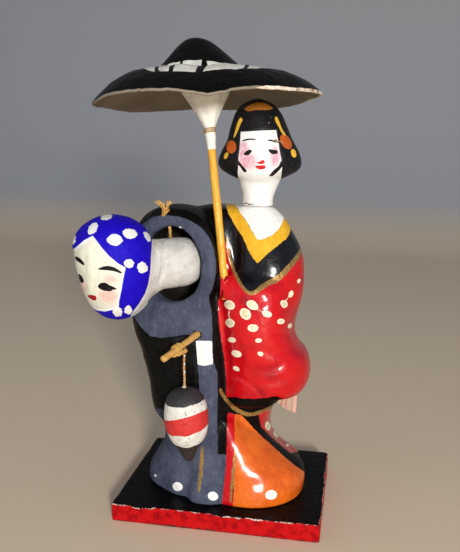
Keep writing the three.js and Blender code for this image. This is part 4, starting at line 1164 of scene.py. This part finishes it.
d = d - 0.75 * np.abs(torn) - 0.1
degrees = (np.degrees(a) + 180) % 360 - 180
wave = rimWave(degrees, d)
middle = c["crownShift"] * (1 - d / c["radius"])
lift = canopyHeight(d) - drop[:, None] + wave
rings = np.stack([middle + d * np.cos(a), d * np.sin(a), lift], -1)
top = np.arange(len(distance))[:, None] < len(outside)
bumps = 0.45 * softNoise(rings, 9, 33) + 0.25 * softNoise(rings, 4, 34)
rings[..., 2] += bumps * blended(1.0, 0.9, rimShare) * blended(2, 14, d)
rings[..., 2] -= 0.25 * torn * (drop[:, None] > 0.5) * rimShare**6
bandInner = np.interp(degrees, [-180, -130, -104, -88, -74, -51, -25, 180],
                      [21.5, 21.3, 20.5, 20.4, 20.8, 21.5, 21.5, 21.5])
bandOuter = np.interp(degrees, [-180, -150, -130, -118, -106, -96, -90, -81, -77, -70, -60, -50, -38, -28,
                                -14, 0, 90, 140, 180],
                      [26, 28, 35, 44, 50, 50, 49.7, 49, 47.5, 48, 49, 47.6, 45.6, 43, 38.5, 36.5, 36, 29,
                       26])
band = most(bandInner - d, d - bandOuter)
# The dark ribs that cross the band: angle at the crown, angle at the brim, half width
ribs = [(-129.6, -104.1, 0.9), (-102.9, -96.2, 0.8), (-70.8, -80.9, 1.35), (-20.3, -54.6, 0.9), (0, -24, 1.0),
        (24, 2, 1.1), (50, 28, 1.0), (75, 54, 1.2), (101, 80, 1.0), (127, 106, 1.1), (153, 132, 1.0),
        (-179, 160, 1.2), (-155, -174, 1.0), (-142, -138, 0.9)]
share = np.clip((d - bandInner) / np.maximum(bandOuter - bandInner, 1), -0.2, 1.2)
for inner, outer, half in ribs:
    at = inner + ((outer - inner + 180) % 360 - 180) * share
    off = np.abs((degrees - at + 180) % 360 - 180)
    bulge = np.sin(math.pi * np.clip(share, 0, 1))
    band = most(band, half * (0.9 + 0.4 * share + 0.6 * bulge) - np.radians(off) * d)
underside = np.where(top, 5.0, -5.0) + 0 * d
underside[len(outside) - 1] = 0.4
underside[len(outside)] = -1.0
rim = np.full_like(d, 5.0)
thin = np.interp(degrees[0], [-180, -60, -50, 30, 60, 180], [2.2, 2.2, 0, 0, 1.5, 2.2])
rim[len(outside) - 2] = 0.9 + thin + 0.9 * softNoise(ringNoise[0], 0.16, 35)
rim[len(outside) - 1] = -0.2 + thin + 0.8 * softNoise(ringNoise[0], 0.16, 35)
rim[len(outside)] = -1.5 + thin
rim[len(outside) + 1] = -0.6 + thin
rim[len(outside) + 2] = 0.6 + thin
rings = rings @ canopyTurn.T + canopyMiddle
points, skins = ringSkin(rings[::-1])
flat = [np.append(v[::-1].ravel(), [v[-1].mean(), v[0].mean()]) for v in (band, underside, rim)]
canopyPiece = addPiece("canopy_skin", points, skins, "parasol_canopy",
                       {"band": flat[0], "underside": flat[1], "rim": flat[2]})

look = canopy
paint = Paint("canopyPaint")
grain, lumps, cloud = paint.noise(1.2, 4), paint.noise(5, 3), paint.noise(20, 3)
wobble = (paint.noise(3.5, 3) - 0.5) * 1.3 + (grain - 0.5) * 0.5
colour = paint.mix(paint.noise(2.2, 3).ramp(0.45, 0.8), look["black"], (0.0045, 0.004, 0.0035))
over = paint.value("band").covers(wobble * 0.45)
colour = paint.mix(over, colour, paint.mix(lumps.ramp(0.3, 0.75), look["band"], (0.52, 0.505, 0.445)))
rough, coat = paint.between(over, 0.42, 0.6), paint.between(over, 0.04, 0.0)
over = paint.value("underside").covers(0.0, 0.3)
paper = paint.mix(cloud.ramp(0.3, 0.7), look["paper"], (0.205, 0.172, 0.130))
paper = paint.mix(grain.ramp(0.55, 0.8) * 0.5, paper, (0.15, 0.125, 0.095))
colour = paint.mix(over, colour, paper)
rough, coat = paint.between(over, rough, 0.75), paint.between(over, coat, 0.0)
over = paint.value("rim").covers(wobble * 0.5, 0.25)
edge = paint.mix(paint.noise(2.6, 3).ramp(0.35, 0.6), look["rim"], (0.74, 0.66, 0.56))
edge = paint.mix(paint.noise(5, 2).ramp(0.56, 0.68), edge, (0.26, 0.13, 0.06))
colour = paint.mix(over, colour, edge)
rough = paint.between(over, rough, 0.7)
relief = lumps * 0.6 + grain * 0.3
dress(canopyPiece, paint.finish(relief, 0.5, Base_Color=colour, Roughness=rough, Coat_Weight=coat,
                                Coat_Roughness=0.2, Specular_IOR_Level=0.06))
print("canopy", len(points), "points")

# The funnel, the binding and the pole

parasol = {
    "yellowLength": 70.0, "neckLength": 13.0, "neckRadius": 2.9, "mouthRadius": 22.0, "poleRadius": 2.2,
    "runOn": 8.0, "bindingRadius": 0.36,
    "paper": (0.84, 0.82, 0.745),
    "yellow": (0.72, 0.35, 0.024),
    "twine": (0.36, 0.20, 0.065),
}
c = parasol
funnelFoot = poleFoot + poleLine * c["yellowLength"]
coneHeight = poleLength + c["runOn"] - c["yellowLength"] - c["neckLength"]
angle = np.linspace(0, 2 * math.pi, 120, endpoint=False)


# The cone's radius by height: it opens from the neck by a power
def coneRadius(height):
    open = np.clip((height - parasol["neckLength"]) / coneHeight, 0, 1)
    return parasol["neckRadius"] + (parasol["mouthRadius"] - parasol["neckRadius"]) * open**1.15


# How far each place lies under the canopy's inside
def underCanopy(points):
    q = (points - canopyMiddle) @ canopyTurn
    d = np.hypot(q[..., 0], q[..., 1])
    for _ in range(4):
        d = np.hypot(q[..., 0] - canopy["crownShift"] * (1 - d / canopy["radius"]), q[..., 1])
    turn = np.degrees(np.arctan2(q[..., 1], q[..., 0] - canopy["crownShift"] * (1 - d / canopy["radius"])))
    return canopyHeight(d) - canopy["wall"] + rimWave(turn, d) - q[..., 2]


# The mouth's height at each angle, halved in on till it lies just under the canopy
low, high = np.full(120, 16.0), np.full(120, coneHeight + c["neckLength"])
for _ in range(22):
    mid = (low + high) / 2
    rings = turnedRings(funnelFoot, poleLine, coneRadius(mid)[None, :], np.zeros(1), 120)
    free = underCanopy(rings[0] + mid[:, None] * poleLine) > 0.75
    low, high = np.where(free, mid, low), np.where(free, high, mid)
# Straight up the neck, then the cone up to its mouth, with pleats that fade at the mouth
neckHeight = np.linspace(2.0, c["neckLength"], 30)[:, None] + 0 * low
coneSteps = np.linspace(0.012, 1, 60)[:, None]
h = np.concatenate([neckHeight, c["neckLength"] + (low - c["neckLength"]) * coneSteps])
a = angle + 0 * h
o = np.clip((h - c["neckLength"]) / (low - c["neckLength"]), 0, 1)
radius = np.where(h > c["neckLength"], coneRadius(h), np.interp(h, [2, 5, 9, 13], [2.34, 2.45, 2.8, 3.0]))
place = np.stack([radius * np.cos(a), radius * np.sin(a), h], -1)
pleat = o * blended(1, 0.8, o)
radius = radius + pleat * (0.55 * np.sin(5 * a + 0.6 + 2 * o) + 0.3 * np.sin(9 * a - 1.0))
radius = radius + (0.10 + 0.5 * pleat) * softNoise(place, 6, 41)
radius = radius + 0.1 * softNoise(place, 2.2, 42) * blended(0, 4, h)
radius = radius - 0.3 * np.exp(-((h - c["neckLength"] + 0.9) / 1.2) ** 2)
radius = np.maximum(radius, c["poleRadius"] + 0.13)
rings = turnedRings(funnelFoot, poleLine, radius, np.zeros(len(h)), 120)
rings = rings + h[..., None] * poleLine
bore = turnedRings(funnelFoot, poleLine, np.full(2, c["poleRadius"] + 0.12),
                   np.array([poleLength - c["yellowLength"], 2.0]), 120)
loop = np.concatenate([rings, bore, rings[:1]])
count, sides = loop.shape[:2]
index = np.arange((count - 1) * sides).reshape(count - 1, sides)
index = np.vstack([index, index[:1]])
after = np.roll(index, -1, 1)
quads = np.stack([index[:-1], after[:-1], after[1:], index[1:]], -1).reshape(-1, 4)
funnelPiece = addPiece("funnel_paper", loop[:-1].reshape(-1, 3), [quads], "parasol_funnel")
paint = Paint("funnelPaper")
grain, lumps = paint.noise(1.0, 4), paint.noise(4, 3)
colour = paint.mix(lumps.ramp(0.35, 0.75), c["paper"], (0.74, 0.72, 0.64))
colour = paint.mix(paint.noise(1.2, 2).ramp(0.68, 0.76) * 0.6, colour, (0.40, 0.30, 0.18))
dress(funnelPiece, paint.finish(lumps * 0.7 + grain * 0.3, 0.35, Base_Color=colour, Roughness=0.62))

# Thin thread wound over twice round the neck, with its two ends twisted off to the front
bindingFoot = funnelFoot + poleLine * (c["neckLength"] - 0.9)
across = np.cross([0, 0, 1], poleLine)
across /= np.linalg.norm(across)
third = np.cross(poleLine, across)
turns = 2.4
t = np.linspace(0, turns, 120)
radius = c["neckRadius"] - 0.3 + c["bindingRadius"]
coil = (bindingFoot + radius
        * (np.cos(2 * math.pi * t)[:, None] * across + np.sin(2 * math.pi * t)[:, None] * third)
        + ((t - turns / 2) * 0.95)[:, None] * poleLine)
front = bindingFoot - third * (radius + 0.4)
tails = [smoothPath([front + across * 1.2, front - third * 0.5,
                     front - across * 2 - third * 0.6 + poleLine * 0.8,
                     front - across * 3.2 - third * 0.2 + poleLine * 1.6], 20),
         smoothPath([front - across * 1.2, front - third * 0.7 + poleLine * 0.3,
                     front + across * 1.8 - third * 0.6,
                     front + across * 2.6 - third * 0.9 - poleLine * 1.0], 20)]
parts = [tubeRings(coil, c["bindingRadius"], 8, poleLine)]
parts += [tubeRings(tail, c["bindingRadius"] * 0.8, 8, poleLine) for tail in tails]
points, skins, _ = joined(parts)
bindingPiece = addPiece("binding_thread", points, skins, "parasol_binding")


def twinePaint(name, tint, pale):
    paint = Paint(name)
    fibre = paint.noise(0.5, 4)
    colour = paint.mix(paint.noise(2.2, 3).ramp(0.35, 0.7), tint, pale)
    colour = paint.mix(fibre.ramp(0.5, 0.8) * 0.6, colour, tuple(0.4 * v for v in tint))
    return paint, colour, fibre


paint, colour, fibre = twinePaint("bindingPaint", c["twine"], (0.52, 0.33, 0.12))
dress(bindingPiece, paint.finish(fibre, 0.12, Base_Color=colour, Roughness=0.8))

# The pole: a thin rod whose radius and line wander a little
t = np.linspace(-7.9, poleLength - 0.3, 150)
wander = np.stack([np.interp(t, [-8, 0, 30, 70, 109], [0, 0, 0.12, -0.05, 0]), np.zeros_like(t),
                   np.zeros_like(t)], 1)
path = poleFoot + t[:, None] * poleLine + wander
rings = tubeRings(path, c["poleRadius"] - 0.06 + 0.05 * np.sin(t * 0.35), 28)
rings += 0.08 * softNoise(rings, 3, 51)[..., None] * (rings - path[:, None]) / c["poleRadius"]
points, skins = ringSkin(rings)
polePiece = addPiece("pole_rod", points, skins, "parasol_pole")
paint = Paint("polePaint")
grain = paint.noise(1.0, 4)
brush = paint.noise(1.6, 3, at=paint.stretched(1, 1, 0.12))
colour = paint.mix(brush.ramp(0.35, 0.7), c["yellow"], (0.80, 0.44, 0.05))
colour = paint.mix(paint.noise(3, 3).ramp(0.6, 0.75) * 0.7, colour, (0.50, 0.20, 0.02))
dress(polePiece, paint.finish(brush * 0.6 + grain * 0.4, 0.25, Base_Color=colour, Roughness=0.5,
                              Coat_Weight=0.15, Specular_IOR_Level=0.3))
print("parasol built")

# The lantern, its rod and its cord

lanternLook = {
    "radius": 11.6, "height": 40.5, "tilt": -4.0, "rodRadius": 1.7, "rodLength": 28.0, "cordRadius": 0.34,
    "top": (0.022, 0.021, 0.023),
    "white": (0.72, 0.70, 0.64),
    "red": (0.62, 0.022, 0.020),
    "tip": (0.028, 0.017, 0.013),
    "rod": (0.50, 0.265, 0.055),
}
c = lanternLook
wrapPlace = rodFoot + rodLine * c["rodLength"] * 0.56
hangingPoint = wrapPlace + np.array([3.7, 0, -1.2])
lanternTop = hangingPoint - np.array([0, 0, 20.0])
lanternForm = np.array([(0, 0), (0.13, 0.004), (0.25, 0.05), (0.35, 0.115), (0.44, 0.17), (0.63, 0.25),
                        (0.82, 0.34), (0.96, 0.46), (1, 0.6), (0.95, 0.77), (0.79, 0.9), (0.46, 0.982),
                        (0, 1)])
# Radius and height along the outline's own length, which keeps the two ends round
steps = np.linspace(0, 1, 110)
length = np.concatenate([[0], np.cumsum(np.hypot(*np.diff(lanternForm * [c["radius"], c["height"]],
                                                          axis=0).T))])
length /= length[-1]
table = np.column_stack([length, lanternForm[:, 0], lanternForm[:, 1]])
outline = rowsAt(table, np.clip(steps, 0.004, 0.996))
height = (np.clip(outline[:, 2], 0, 1) - 1) * c["height"]
angle = np.linspace(0, 2 * math.pi, 160, endpoint=False)
a, z = np.meshgrid(angle, height)
radius = np.maximum(outline[:, 1], 0.01)[:, None] * c["radius"] * np.ones_like(a)
place = np.stack([radius * np.cos(a), radius * np.sin(a), z], -1)
radius = radius * (1 + 0.02 * softNoise(place, 9, 61)) + (0.16 * softNoise(place, 4, 62)
                                                         + 0.06 * softNoise(place, 1.5,
                                                                            63)) * np.minimum(radius / 4, 1)
rings = np.stack([radius * np.cos(a), radius * np.sin(a), z], -1)
degrees = (np.degrees(a) + 180) % 360 - 180
wave = 0.35 * softNoise(place, 4, 64)
blackLine = np.interp(degrees, [-180, -103, -65, -15, 9, 90, 180],
                      [-7.2, -6.9, -6.3, -6.0, -6.4, -7.4, -7.2]) + wave
redTop = np.interp(degrees, [-180, -155, -111, -78, -44, -2, 60, 120, 180],
                   [-16, -15.8, -13.4, -11.9, -10.9, -11.2, -13, -15.5, -16]) + wave
redFoot = np.interp(degrees, [-180, -136, -103, -73, -41, -10, 60, 120, 180],
                    [-23, -22.6, -22.2, -22.0, -20.7, -19.5, -21, -22.8, -23]) + wave
tipLine = np.interp(degrees, [-180, -119, -100, -75, -50, 0, 90, 180],
                    [-29.5, -29.3, -29.8, -30.0, -29.0, -28.4, -29.2, -29.5]) + wave
turn = math.radians(c["tilt"])
spin = np.array([[math.cos(turn), 0, math.sin(turn)], [0, 1, 0], [-math.sin(turn), 0, math.cos(turn)]])
points, skins = ringSkin(rings @ spin.T + lanternTop)
values = {"topPaint": blackLine - z, "redPaint": most(z - redTop, redFoot - z), "tipPaint": z - tipLine}
values = {key: np.append(v.ravel(), [v[0].mean(), v[-1].mean()]) for key, v in values.items()}
lanternPiece = addPiece("lantern_paper", points, skins, "lantern", values)
paint = Paint("lanternPaint")
grain, lumps = paint.noise(1.0, 4), paint.noise(3.5, 3)
wobble = (paint.noise(2, 3) - 0.5) * 0.5 + (grain - 0.5) * 0.25
colour = paint.mix(lumps.ramp(0.35, 0.75), c["white"], (0.60, 0.57, 0.50))
for name, tint in (("topPaint", c["top"]), ("redPaint", c["red"]), ("tipPaint", c["tip"])):
    shade = paint.mix(grain.ramp(0.3, 0.7), tint, tuple(0.8 * v for v in tint))
    colour = paint.mix(paint.value(name).covers(wobble), colour, shade)
colour = paint.mix(paint.noise(1.5, 1).ramp(0.72, 0.76) * 0.8, colour, (0.07, 0.06, 0.045))
relief = lumps * 0.9 + grain * 0.45 + paint.noise(1.5, 1).ramp(0.66, 0.76) * 0.6
dress(lanternPiece, paint.finish(relief, 0.6, Base_Color=colour, Roughness=0.62))

# The rod with its blunt tip, and a strip of paper twisted round it whose ends stand off to the sides
t = np.linspace(-5.9, c["rodLength"], 90)
path = rodFoot + t[:, None] * rodLine
radius = c["rodRadius"] * np.interp(t, [-6, 27.2, 27.8, 28], [1, 1, 0.85, 0.5])
rings = tubeRings(path, radius, 24)
rings += (0.10 * softNoise(rings, 3.2, 71) + 0.05 * softNoise(rings, 1.2,
                                                              72))[..., None] * (rings - path[:, None])
parts = [rings]
rodAcross, rodUp = acrossPath(path[:3])
u, v = rodAcross[0], rodUp[0]
t = np.linspace(0, 2.6, 90)
ring = 2 * math.pi * t[:, None]
coil = wrapPlace + (c["rodRadius"] + 0.42) * (np.cos(ring) * u + np.sin(ring) * v)
coil = coil + ((t - 1.3) * 1.5)[:, None] * rodLine
parts.append(tubeRings(coil, 0.62 + 0.08 * np.sin(9 * t), 10, rodLine, flat=0.8))
strip = smoothPath([wrapPlace + np.array([-5.2, -1.2, -3.6]), wrapPlace + np.array([-3.6, -1.8, -2.9]),
                    wrapPlace + np.array([-0.6, -2.6, -2.6]), wrapPlace + np.array([2.2, -1.4, -1.8]),
                    hangingPoint, hangingPoint + np.array([0.9, 0.3, 0.9])], 50)
parts += twistedRings(strip, 0.62, 2, 3.2, 8)
points, skins, _ = joined(parts)
rodPiece = addPiece("lantern_rod_and_strip", points, skins, "lantern_rod")
paint = Paint("rodPaint")
grain = paint.noise(0.8, 4)
streak = paint.noise(2.2, 3, twist=0.5)
colour = paint.mix(streak.ramp(0.35, 0.7), c["rod"], (0.62, 0.38, 0.11))
colour = paint.mix(grain.ramp(0.55, 0.8) * 0.6, colour, (0.36, 0.17, 0.03))
dress(rodPiece, paint.finish(streak * 0.5 + grain * 0.5, 0.3, Base_Color=colour, Roughness=0.62))

cordFoot = lanternTop + np.array([0, 0, 0.3])
cordTop = hangingPoint - np.array([0, 0, 1.6])
path = smoothPath([cordFoot, cordFoot * 0.7 + cordTop * 0.3 + [0.15, -0.1, 0],
                   cordFoot * 0.4 + cordTop * 0.6 + [-0.12, 0, 0], cordTop], 70)
parts = twistedRings(path, c["cordRadius"], 2, 4.6, 8, (0, 1, 0))
knot = smoothPath([cordFoot + [0.9, -0.3, 0.25], cordFoot + [0.2, -0.9, 0.5], cordFoot + [-0.9, -0.2, 0.35],
                   cordFoot + [-0.2, 0.8, 0.6], cordFoot + [0.8, 0.3, 0.9], cordFoot + [0.5, -0.8, 1.1]], 40)
parts.append(tubeRings(knot, 0.34, 8, (0, 0, 1)))
points, skins, number = joined(parts)
lanternCordPiece = addPiece("lantern_twine", points, skins, "lantern_cord", {"strand": number})
paint, colour, fibre = twinePaint("lanternTwine", (0.46, 0.20, 0.055), (0.58, 0.32, 0.11))
colour = paint.mix(paint.value("strand").ramp(0.4, 0.6) * paint.noise(3.5, 2).ramp(0.4, 0.55), colour,
                   (0.74, 0.68, 0.58))
dress(lanternCordPiece, paint.finish(fibre, 0.12, Base_Color=colour, Roughness=0.85))

# The cord that holds the man's head

headCordFoot = np.array([-30, -18.6, 131.4 + boardTop + neckRadius])
knotPlace = np.array([-33, -17.2, 158.9 + boardTop])
path = smoothPath([headCordFoot + [0, 0, 0.3], headCordFoot * 0.65 + knotPlace * 0.35 + [0, 2, 0],
                   headCordFoot * 0.3 + knotPlace * 0.7 + [0, 2, 0], knotPlace], 60)
parts = twistedRings(path, 0.46, 2, 4.5, 8, (0, 1, 0))
winding = 2 * math.pi * np.linspace(0, 3.6, 90)[:, None]
lift = np.linspace(-2.4, 1.4, 90)[:, None]
knot = knotPlace + 1.45 * np.cos(winding) * [1, 0.1, 0] + 1.15 * np.sin(winding) * [0, 1,
                                                                                    0.25] + lift * [0.1, 0, 1]
parts.append(tubeRings(knot, 0.72, 8))
tailEnds = [(-4.9, -1.5, 4.9), (-3.7, -0.6, 5.5), (-2.2, -1.8, 5.2), (2.3, -0.9, 5.4), (3.4, -1.6, 4.6),
            (1.0, 0.2, 5.7), (-0.6, -1.2, 4.6), (-4.2, -1.0, 5.4), (-2.9, -1.4, 5.6), (2.8, -1.4, 5.2)]
for k, end in enumerate(tailEnds):
    end = np.array(end)
    bend = np.array([0.4 * math.sin(3 * k), -0.5, 0.6])
    end = end * 1.15
    tail = smoothPath([knotPlace + [0, 0, 0.4], knotPlace + end * 0.5 + bend, knotPlace + end], 20)
    parts.append(tubeRings(tail, np.linspace(0.6, 0.25, 20), 8, (0, 1, 0.1)))
points, skins, _ = joined(parts)
headCordPiece = addPiece("head_twine", points, skins, "head_cord")
paint, colour, fibre = twinePaint("headTwine", (0.42, 0.205, 0.035), (0.74, 0.47, 0.14))
dress(headCordPiece, paint.finish(fibre, 0.12, Base_Color=colour, Roughness=0.8))
print("lantern and cords built")

# The stiff paper at the sleeve

flap = {
    "thickness": 0.9, "turn": -0.3,
    "paper": (0.60, 0.46, 0.33),
    "stroke": (0.55, 0.07, 0.06),
    "edge": (0.70, 0.36, 0.32),
}
flapPlace = np.array([32.5, 4, 58.5 + boardTop])
# The sheet by its share across and down: its foot slants, and a fold near its right edge turns back
across, down = np.meshgrid(np.linspace(0, 1, 60), np.linspace(0, 1, 60))
footLine = np.interp(across, [0, 0.48, 0.93, 1], [-10.8, -14.8, -15.9, -15.6])
x = -6.6 + 14.2 * across * (1 - 0.05 * down)
z = 2.8 * (1 - down) + footLine * down
y = 0.35 * np.sin(3.0 * across + 1.2) * down + 0.25 * softNoise(np.stack([x, z, 0 * x], -1), 4, 81)
y = y + np.interp(across, [0.0, 0.80, 0.86, 1.0], [0, 0, -0.35, 0.5]) * down
half = flap["thickness"] / 2
sheets = [np.stack([x, y + side * half, z], -1) for side in (-1, 1)]
turn = flap["turn"]
spin = np.array([[math.cos(turn), -math.sin(turn), 0], [math.sin(turn), math.cos(turn), 0], [0, 0, 1]])
count = x.shape
index = np.arange(x.size).reshape(count)
quads = np.stack([index[:-1, :-1], index[1:, :-1], index[1:, 1:], index[:-1, 1:]], -1).reshape(-1, 4)
border = np.concatenate([index[0, :-1], index[:-1, -1], index[-1, :0:-1], index[:0:-1, 0]])
after = np.roll(border, -1)
edge = np.stack([border, after, after + x.size, border + x.size], 1)
points = np.concatenate([s.reshape(-1, 3) for s in sheets]) @ spin.T + flapPlace
flapPiece = addPiece("sleeve_end", points, [np.vstack([quads, quads[:, ::-1] + x.size, edge])], "sleeve_flap",
                     {"across": np.tile(across.ravel(), 2), "down": np.tile(down.ravel(), 2)})
paint = Paint("sleevePaper")
grain = paint.noise(1.0, 4)
at, low = paint.value("across"), paint.value("down")
colour = paint.mix(paint.noise(3, 3).ramp(0.35, 0.75), flap["paper"], (0.52, 0.36, 0.25))
slant = at * 14.0 + low * 2.5 + (paint.noise(3, 2) - 0.5) * 1.6
for place, half in ((3.4, 0.5), (6.6, 0.75), (9.4, 0.4)):
    streak = (slant - place).math("ABSOLUTE") - half
    colour = paint.mix(streak.ramp(0.3, -0.3) * grain.ramp(0.35, 0.55) * 0.8, colour, flap["stroke"])
colour = paint.mix(at.ramp(0.86, 0.92) * 0.8, colour, flap["edge"])
dress(flapPiece, paint.finish(grain, 0.15, Base_Color=colour, Roughness=0.7))

# The board

board = {
    "width": 115.0, "depth": 91.0, "height": 10.0, "corner": 2.0, "edge": 0.9,
    "top": (0.0016, 0.0015, 0.0015),
    "red": (0.50, 0.006, 0.007),
    "deepRed": (0.28, 0.002, 0.005),
}
c = board
# A closed outline round a rounded rectangle, and its shares inwards for the top and the foot
turnCount = 16
corners = []
for k, (sx, sy) in enumerate(((1, 1), (-1, 1), (-1, -1), (1, -1))):
    swing = np.linspace(0, math.pi / 2, turnCount) + k * math.pi / 2
    middle = np.array([sx * (c["width"] / 2 - c["corner"]), sy * (c["depth"] / 2 - c["corner"])])
    corners.append(middle + c["corner"] * np.stack([np.cos(swing), np.sin(swing)], 1))
outline = np.vstack(corners)
loop = np.vstack([outline, outline[:1]])
run = np.concatenate([[0], np.cumsum(np.hypot(*np.diff(loop, axis=0).T))])
even = np.linspace(0, run[-1], 560, endpoint=False)
outline = np.stack([np.interp(even, run, loop[:, k]) for k in (0, 1)], 1)
shares = [0.02, 0.2, 0.4, 0.6, 0.75, 0.86, 0.93, 0.965, 0.985]
side = [(0.0, 0.35), (0.12, 0.1), (0.35, 0), (1.2, 0), (2.5, 0), (4, 0), (5.5, 0), (7, 0), (8.2, 0), (9.0, 0),
        (9.5, 0.12), (9.8, 0.32), (9.95, 0.65)]
rings = []
for share in shares:
    rings.append(np.column_stack([outline * share, np.zeros(len(outline))]))
normalOut = np.stack([np.clip(outline[:, 0] / (c["width"] / 2), -1, 1)**21,
                      np.clip(outline[:, 1] / (c["depth"] / 2), -1, 1)**21], 1)
for z, inwards in side:
    spot = np.column_stack([outline, np.full(len(outline), z)])
    dent = np.maximum(0.22 * softNoise(spot, 5, 91) + 0.12 * softNoise(spot, 1.8, 92) + 0.27, 0.02)
    rings.append(np.column_stack([outline - normalOut * (inwards + dent)[:, None], np.full(len(outline), z)]))
for share in shares[::-1]:
    rings.append(np.column_stack([outline * share, np.full(len(outline), c["height"])]))
rings = np.array(rings)
topRows = np.arange(len(rings)) >= len(shares) + len(side) - 3
rings[topRows, :, 2] -= 0.10 + 0.09 * softNoise(rings[topRows], 4, 93)
points, skins = ringSkin(rings)
heights = points[:, 2]
toEdge = np.minimum(c["width"] / 2 - np.abs(points[:, 0]), c["depth"] / 2 - np.abs(points[:, 1]))
slow = softNoise(points * [1, 1, 0], 9, 94) * 0.9 + softNoise(points * [1, 1, 0], 3, 95) * 0.55
boardPiece = addPiece("board_wood", points, skins, "board",
                      {"redLine": heights - 9.45 + 0.9 * slow + 2.0 * np.maximum(toEdge - 0.9, 0)})
paint = Paint("boardPaint")
grain, lumps = paint.noise(1.0, 4), paint.noise(4, 3)
brush = paint.noise(1.8, 3, at=paint.stretched(0.22, 1, 1), twist=0.4)
black = paint.mix(brush.ramp(0.4, 0.8), c["top"], (0.0055, 0.005, 0.005))
dust = paint.noise(0.8, 2).ramp(0.70, 0.76) * paint.noise(14, 2).ramp(0.45, 0.6)
black = paint.mix(dust * 0.7, black, (0.42, 0.36, 0.26))
red = paint.mix(lumps.ramp(0.4, 0.7), c["red"], c["deepRed"])
line = paint.value("redLine") + (grain - 0.5) * 0.9 + (lumps - 0.5) * 1.6
over = line.ramp(0.15, -0.15)
colour = paint.mix(over, black, red)
chip = (line.math("ABSOLUTE") - 0.05).ramp(0.26, 0.0) * paint.noise(3.6, 3).ramp(0.42, 0.56)
colour = paint.mix(chip, colour, (0.70, 0.60, 0.52))
foot = (paint.value("redLine") + 9.0 + (lumps - 0.5) * 2.2).ramp(0.6, -0.2) * paint.noise(3, 3).ramp(0.4,
                                                                                                     0.55)
colour = paint.mix(foot * 0.85, colour, (0.05, 0.02, 0.02))
relief = lumps * 0.5 + grain * 0.25 + brush * 0.25
dress(boardPiece, paint.finish(relief, 0.5, Base_Color=colour, Roughness=paint.between(over, 0.45, 0.4),
                               Coat_Weight=0.03, Specular_IOR_Level=0.06))
print("board built")

# The floor and the light

studio = {
    "floor": (0.74, 0.60, 0.43),
    "wall": (0.46, 0.475, 0.50),
    "halfWidth": 2600, "front": -1800, "wallPlace": 900, "bend": 500, "wallHeight": 1800,
    "keyPower": 13.0, "keySize": 0.13, "fillPower": 1.0, "sky": 0.34,
}
# One sheet for the floor and the wall behind: flat, then a quarter round, then upright
t = np.linspace(0, 1, 140)[:, None]
c = studio
x = np.linspace(-c["halfWidth"], c["halfWidth"], 60)[None, :]
reachOut = np.interp(t, [0, 0.5, 1], [c["front"], c["wallPlace"], c["wallPlace"]])
bend = np.clip((t - 0.5) / 0.2, 0, 1) * math.pi / 2
y = np.where(t < 0.5, reachOut, c["wallPlace"] + c["bend"] * np.sin(bend)) + 0 * x
z = np.where(t < 0.5, 0, c["bend"] * (1 - np.cos(bend))) + np.clip((t - 0.7) / 0.3, 0,
                                                                   1) * c["wallHeight"] + 0 * x
grid = np.stack([x + 0 * t, y, z - 0.05], -1)
index = np.arange(grid[..., 0].size).reshape(grid.shape[:2])
quads = np.stack([index[:-1, :-1], index[:-1, 1:], index[1:, 1:], index[1:, :-1]], -1).reshape(-1, 4)
mesh = bpy.data.meshes.new("studio_floor")
mesh.from_pydata((grid.reshape(-1, 3) * mm).tolist(), [], quads.tolist())
mesh.shade_smooth()
floor = bpy.data.objects.new("studio_floor", mesh)
bpy.context.collection.objects.link(floor)
paint = Paint("studioFloor")
height = paint.node("ShaderNodeSeparateXYZ", {}, {0: paint.place()}, out=2)
colour = paint.mix(height.ramp(0.0, 0.1), studio["floor"], studio["wall"])
floor.data.materials.append(paint.finish(None, Base_Color=colour, Roughness=0.85))


def addLight(name, place, aim, size, power, tint):
    light = bpy.data.lights.new(name, "AREA")
    light.size, light.energy, light.color = size, power, tint
    lamp = bpy.data.objects.new(name, light)
    place, aim = np.array(place, float), np.array(aim, float)
    back = (place - aim) / np.linalg.norm(place - aim)
    side = np.cross([0, 0, 1], back)
    side /= np.linalg.norm(side)
    up = np.cross(back, side)
    lamp.matrix_world = Matrix([[side[i], up[i], back[i], place[i]] for i in range(3)] + [[0, 0, 0, 1]])
    bpy.context.collection.objects.link(lamp)


addLight("key", (0.38, -1.04, 0.35), (0, 0, 0.13), studio["keySize"], studio["keyPower"], (1.0, 0.985, 0.96))
addLight("fill", (-0.9, -0.8, 0.5), (0, 0, 0.12), 0.9, studio["fillPower"], (0.93, 0.96, 1.0))
world = bpy.data.worlds.new("studio")
world.use_nodes = True
world.node_tree.nodes["Background"].inputs["Color"].default_value = (0.86, 0.9, 1.0, 1.0)
world.node_tree.nodes["Background"].inputs["Strength"].default_value = studio["sky"]
bpy.context.scene.world = world
bpy.context.scene.view_settings.view_transform = "Standard"
print("stage and lights placed")
